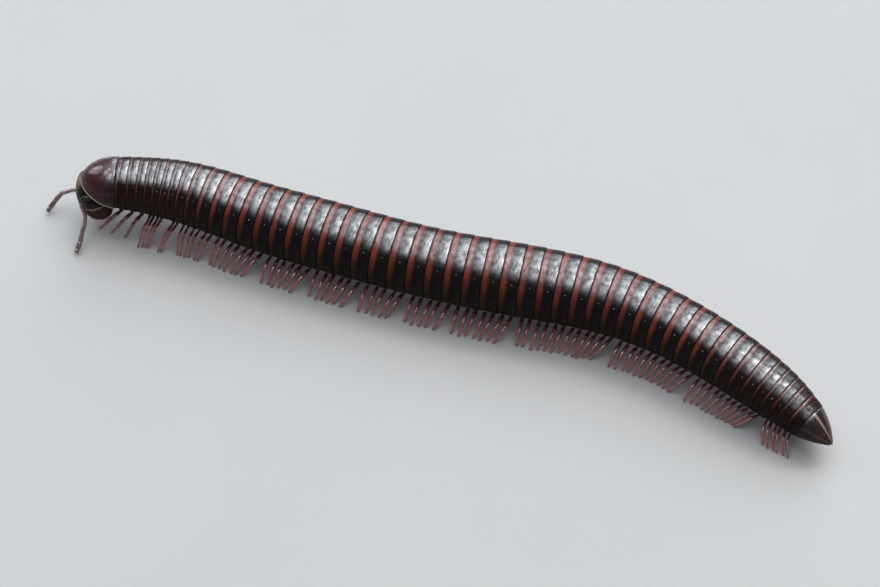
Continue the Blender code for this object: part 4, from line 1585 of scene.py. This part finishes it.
# %% The two feelers
ANTENNA_THICKNESS = 0.80
ANTENNA_ROOT_LENGTH = 0.3
ARTICLE_OVERLAP = 1.03
ARTICLE_LENGTHS = (0.55, 1.15, 1.15, 1.1, 1.05, 0.95, 0.5)
ARTICLE_WIDTHS = (0.80, 0.84, 0.90, 0.96, 1.03, 1.08, 0.92)
ARTICLE_PROFILE = (
    (-0.10, 0.56), (0.0, 0.72), (0.10, 0.82), (0.30, 0.89), (0.55, 0.95), (0.78, 1.0), (0.91, 0.98),
    (0.975, 0.88), (1.0, 0.64),
)
LEFT_ANTENNA = ((-58.7, -8.9, 4.6), (-58.9, -10.2, 2.7), (-58.85, -11.4, 1.5), (-59.0, -12.6, 0.6))
RIGHT_ANTENNA = ((-62.4, -4.4, 4.4), (-64.3, -4.7, 3.6), (-65.5, -5.9, 2.3), (-66.4, -7.4, 0.7))
FEELER_BRISTLES = 26
CONE_PROFILE = ((-0.3, 1.0), (0.5, 0.9), (0.9, 0.6), (1.0, 0.3))
CONE_SPREAD = 0.09
CONE_LENGTH = 0.14
CONE_WIDTH = 0.05
ANTENNA_MAUVE = (0.140, 0.078, 0.086)
ANTENNA_BROWN = (0.035, 0.013, 0.012)
ANTENNA_TIP = (0.050, 0.026, 0.018)
ARTICLE_ENDS = ((0.12, 0.0), (0.93, 1.0))
JOINT_BROWN = 0.5
MAUVE_MOTTLE = 0.4
TIP_ARTICLES = (0.55, 0.85)
TIP_STRENGTH = 0.8


def paint_antennae(tree, place):
    share = shader_attribute(tree, "share")
    joint = share.between(*ARTICLE_ENDS[0]) + share.between(*ARTICLE_ENDS[1])
    mottle = noise(tree, place, 0.5).between(0.35, 0.7) * MAUVE_MOTTLE
    tint = tree.mix(mottle, ANTENNA_MAUVE, ANTENNA_BROWN)
    ringed = tree.mix(joint * JOINT_BROWN, tint, ANTENNA_BROWN)
    tip = shader_attribute(tree, "place").between(*TIP_ARTICLES) * TIP_STRENGTH
    return tree.mix(tip, ringed, ANTENNA_TIP)


antenna_finish = cuticle("feeler cuticle", paint_antennae, 0.28, 0.012, 0.005, dust=0.1, wax=1.0)
article_shape = turned("article shape", ARTICLE_PROFILE, 20)
cone_shape = turned("cone shape", CONE_PROFILE, 8)
article_widths = 0.5 * ANTENNA_THICKNESS * np.array(ARTICLE_WIDTHS)
article_cuts = np.concatenate([[0.0], np.cumsum(ARTICLE_LENGTHS)])
for name, side, way in (("antenna_left", 1, LEFT_ANTENNA), ("antenna_right", -1, RIGHT_ANTENNA)):
    bends = [head_points(np.array(ANTENNA_SOCKET) * (1, side, 1))]
    bends += [np.array(point) - (*ORIGIN, 0.0) for point in way]
    path = smooth_through(distances_along(bends), bends)
    length = distances_along(bends)[-1] + ANTENNA_ROOT_LENGTH
    joints = path(article_cuts / article_cuts[-1] * length - ANTENNA_ROOT_LENGTH)
    axes = np.diff(joints, axis=0)
    feeler = set_copies(
        name + "_articles", article_shape, antenna_finish, joints[:-1], axes * ARTICLE_OVERLAP, UP,
        article_widths, seed=0, unevenness=0.0, place=np.linspace(0, 1, len(axes)),
    )
    settle(feeler, "antenna", name)
    tip_axis = unit(axes[-1])
    tip_aside = unit(np.cross(tip_axis, UP))
    tip_over = np.cross(tip_axis, tip_aside)
    steps = [p * tip_aside + q * tip_over for p in (1, -1) for q in (1, -1)]
    cones = set_copies(
        name + "_cones", cone_shape, antenna_finish, [joints[-1] + CONE_SPREAD * step for step in steps],
        [tip_axis * CONE_LENGTH] * len(steps), tip_aside, CONE_WIDTH, seed=0, unevenness=0.0,
    )
    settle(cones, "antenna")
    hairs = bristles_on(joints[:-1], axes, article_widths, FEELER_BRISTLES, 19)
    set_bristles(name + "_bristles", *hairs, "antenna")

# %% [markdown]
# ## Tail piece and valves
#
# The tail piece is a short cone whose upper side runs out into a narrow point with a keel. Beside and
# below the point two convex valves close the gut, each with a raised lip along the slit between them,
# and a small scale lies under both. A cone could be hollowed with a Boolean for the valves. Here each
# line of the cone stops at the margin instead, and folds in there, which gives a clean edge.

# %% The tail piece
TAIL_RADII = (
    # The distance from the head and the cone's radius there.
    (112.5, 2.70), (113.1, 2.80), (113.9, 2.57), (114.7, 2.22), (115.6, 1.75), (116.4, 1.24),
    (117.2, 0.68), (117.83, 0.20),
)
TAIL_START = 112.6
TAIL_MARGIN = 115.15
TAIL_TIP = 117.83
POINT_HALF_TURN = 0.16
SCALE_HALF_TURN = 0.45
SCALE_LENGTH = 0.85
KEEL_HALF_TURN = 0.07
KEEL_HEIGHT = 0.05
KEEL_START = 0.1
TAIL_RIM = 0.03
TAIL_RIM_WIDTH = 0.10
NARROWEST_FOLD = 0.02
TAIL_ROWS = 44
TAIL_COLUMNS = 200
TAIL_FOLD = (
    # How far behind the margin each row of the fold lies, and how deep in.
    (0.02, 0.04), (0.00, 0.13), (-0.10, 0.26), (-0.40, 0.34),
)
TELSON_BLACK = (0.009, 0.007, 0.007)
TELSON_BROWN = (0.036, 0.012, 0.009)
KEEL_PALE_AND_HIGHLIGHT = (0.230, 0.180, 0.160)
KEEL_STRENGTH = 0.7
TAIL_BLOTCH = 0.8
TAIL_LEAST_WAX = 0.03
TAIL_TOP_WAX = 0.55
TAIL_TOP = (0.30, 0.85)

tail_radius_at = smooth_through(*zip(*TAIL_RADII))


def paint_telson(tree, place):
    blotch = noise(tree, place, 0.9, FINE_DETAIL).between(0.40, 0.75) * TAIL_BLOTCH
    black = tree.mix(blotch, TELSON_BLACK, TELSON_BROWN)
    # The keel is painted pale: partly its own pale colour, partly a painted highlight streak along it.
    return tree.mix(shader_attribute(tree, "keel") * KEEL_STRENGTH, black, KEEL_PALE_AND_HIGHLIGHT)


def tail_wax(tree, place):
    return TAIL_LEAST_WAX + shader_attribute(tree, "upness").between(*TAIL_TOP) * TAIL_TOP_WAX


telson_finish = cuticle("tail cuticle", paint_telson, 0.24, 0.03, 0.006, wax=tail_wax, gloss=0.06)
tail_turns = np.arange(TAIL_COLUMNS) * 2 * math.pi / TAIL_COLUMNS
tail_sides = np.abs(np.angle(np.exp(1j * tail_turns)))
tail_margins = TAIL_MARGIN + (TAIL_TIP - TAIL_MARGIN) * near(tail_sides, POINT_HALF_TURN)
tail_margins += SCALE_LENGTH * near(math.pi - tail_sides, SCALE_HALF_TURN)
tail_keel = near(tail_sides, KEEL_HALF_TURN)
tail_shares = np.linspace(0, 1, TAIL_ROWS)[:, None]
tail_alongs = TAIL_START + tail_shares * (tail_margins - TAIL_START)
tail_radii = tail_radius_at(tail_alongs) + TAIL_RIM * near(tail_margins - tail_alongs, TAIL_RIM_WIDTH)
tail_radii += KEEL_HEIGHT * tail_keel * (tail_shares > KEEL_START)
fold_alongs = [tail_margins + step for step, _ in TAIL_FOLD]
fold_radii = [np.maximum(tail_radius_at(tail_margins) - depth, NARROWEST_FOLD) for _, depth in TAIL_FOLD]
tail_alongs = np.vstack([tail_alongs, fold_alongs])
tail_radii = np.vstack([tail_radii, fold_radii])
telson_grid = body_points(tail_alongs, tail_radii * np.sin(tail_turns), tail_radii * np.cos(tail_turns))
telson = loft(
    "telson_cone", telson_grid * MM, telson_finish, keel=np.broadcast_to(tail_keel, tail_radii.shape),
    upness=np.broadcast_to(np.cos(tail_turns), tail_radii.shape),
)
settle(telson, "telson", "telson")

# %% Valves with raised lips
VALVE_ROWS = 36
VALVE_COLUMNS = 72
VALVE_START = 114.5
VALVE_END = 117.66
VALVE_DROP = 0.05
VALVE_SLIT = 0.05
VALVE_SWELL = 0.05
VALVE_ROUNDING = (0.03, 0.06)
LIP_HEIGHT = 0.07
LIP_WIDTH = 0.13

valve_turns = np.arange(VALVE_COLUMNS) * 2 * math.pi / VALVE_COLUMNS


def valve_grid(side):
    """Points of one convex valve. Its inner side is flat along the slit."""
    shares = (1 - np.cos(np.linspace(0, math.pi, VALVE_ROWS)))[:, None] / 2
    turns = valve_turns[None, :]
    alongs = VALVE_START + shares * (VALVE_END - VALVE_START)
    front, rear = VALVE_ROUNDING
    ends = np.clip(np.minimum(shares / front, (1 - shares) / rear), 0, 1)
    radii = (tail_radius_at(alongs) - VALVE_DROP) * np.sqrt(1 - (1 - ends) ** 2)
    swell = 1 + VALVE_SWELL * np.sin(math.pi * shares) * np.abs(np.sin(turns))
    lateral = np.maximum(side * radii * swell * np.sin(turns), VALVE_SLIT)
    lip = LIP_HEIGHT * near(lateral - VALVE_SLIT, LIP_WIDTH) * np.clip(radii, 0, 1)
    return body_points(alongs + 0 * turns, side * lateral, (radii * swell + lip) * np.cos(turns))


def paint_valves(tree, place):
    mottle = noise(tree, place, 0.6, FINE_DETAIL).between(0.35, 0.7)
    return tree.mix(mottle, TELSON_BROWN, TELSON_BLACK)


valve_finish = cuticle("valve cuticle", paint_valves, 0.28, 0.03, 0.008, wax=tail_wax, gloss=0.06)
for name, side in (("anal_valve_left", 1), ("anal_valve_right", -1)):
    valve = loft(
        name + "_plate", valve_grid(side) * MM, valve_finish,
        upness=np.tile(np.cos(valve_turns), (VALVE_ROWS, 1)),
    )
    settle(valve, "valve", name)

# %% [markdown]
# ## Floor and light
#
# A dark, glossy body is seen by what it mirrors. A single small lamp would leave a hard white spot.
# Three wide, soft lamps rise one above the other instead, from low behind the animal to straight
# over it, and join in one long highlight on its back. A weak one leans over from the onlooker's side
# and softens the highlight's lower edge. Two small lamps pick out the tail piece and the face, and a
# dim, wide sun fills the shadows as an open sky would. The floor is plain and pale, and matt, so
# that it mirrors nothing.

# %% Floor
FLOOR_HALF = 8.0
FLOOR_GREYS = ((0.215, 0.212, 0.208), (0.23, 0.227, 0.223))
FLOOR_CLOUDS = 40.0


def paint_floor(tree, place):
    return tree.mix(noise(tree, place, FLOOR_CLOUDS), *FLOOR_GREYS)


floor = mesh_object(
    "floor", [(x * FLOOR_HALF, y * FLOOR_HALF, 0.0) for x, y in ((-1, -1), (1, -1), (1, 1), (-1, 1))],
    [(0, 1, 2, 3)], cuticle("floor paper", paint_floor, 0.8, 0.0, 0.01, dust=0.0, gloss=0.1),
)
if floor.data.polygons[0].normal.z < 0:
    floor.data.flip_normals()
print("floor:", 2 * FLOOR_HALF, "m on each side")

# %% Lamps
SKY_COLOUR = (0.91, 0.95, 1.0)
WARM_COLOUR = (1.0, 0.98, 0.95)
LAMPS = (
    # Name, azimuth, elevation, distance in mm, the two sides in m, watts and colour.
    ("near lamp", 201.8, 118.0, 2600.0, (2.74, 0.92), 11.0, SKY_COLOUR),
    ("top lamp", 201.8, 88.5, 2600.0, (2.74, 1.90), 88.8, SKY_COLOUR),
    ("middle lamp", 188.0, 55.0, 2570.0, (2.31, 1.65), 87.0, SKY_COLOUR),
    ("far lamp", 184.0, 21.0, 2600.0, (2.89, 1.70), 72.0, SKY_COLOUR),
    ("tail lamp", 130.0, 58.0, 500.0, (0.09, 0.24), 1.0, WARM_COLOUR),
    ("head lamp", 258.0, 28.0, 450.0, (0.20, 0.24), 0.75, SKY_COLOUR),
)
SUN = ("wide sky", 201.8, 75.0, 600.0, 0.8, (0.90, 0.95, 1.0))
SUN_ANGLE = math.radians(50)
WORLD_COLOUR = (0.82, 0.84, 0.88, 1.0)
WORLD_STRENGTH = 0.05


def light(kind, name, azimuth, elevation, distance, power, colour):
    """A light that looks at the animal. Returns its settings."""
    lamp = bpy.data.objects.new(name, bpy.data.lights.new(name, kind))
    lamp.data.energy = power
    lamp.data.color = colour
    bpy.context.scene.collection.objects.link(lamp)
    aim(lamp, VIEW_TARGET, math.radians(azimuth), math.radians(elevation), distance)
    return lamp.data


for name, azimuth, elevation, distance, size, power, colour in LAMPS:
    lamp = light("AREA", name, azimuth, elevation, distance, power, colour)
    lamp.shape = "RECTANGLE"
    lamp.size, lamp.size_y = size
light("SUN", *SUN).angle = SUN_ANGLE
world = bpy.data.worlds.new("studio")
world.use_nodes = True
world.node_tree.nodes["Background"].inputs["Color"].default_value = WORLD_COLOUR
world.node_tree.nodes["Background"].inputs["Strength"].default_value = WORLD_STRENGTH
bpy.context.scene.world = world
bpy.context.scene.view_settings.view_transform = "Standard"
print("lamps:", len(LAMPS), "and one wide sun")

# %% Clear the small shapes
for shape in small_shapes:
    bpy.data.objects.remove(shape)
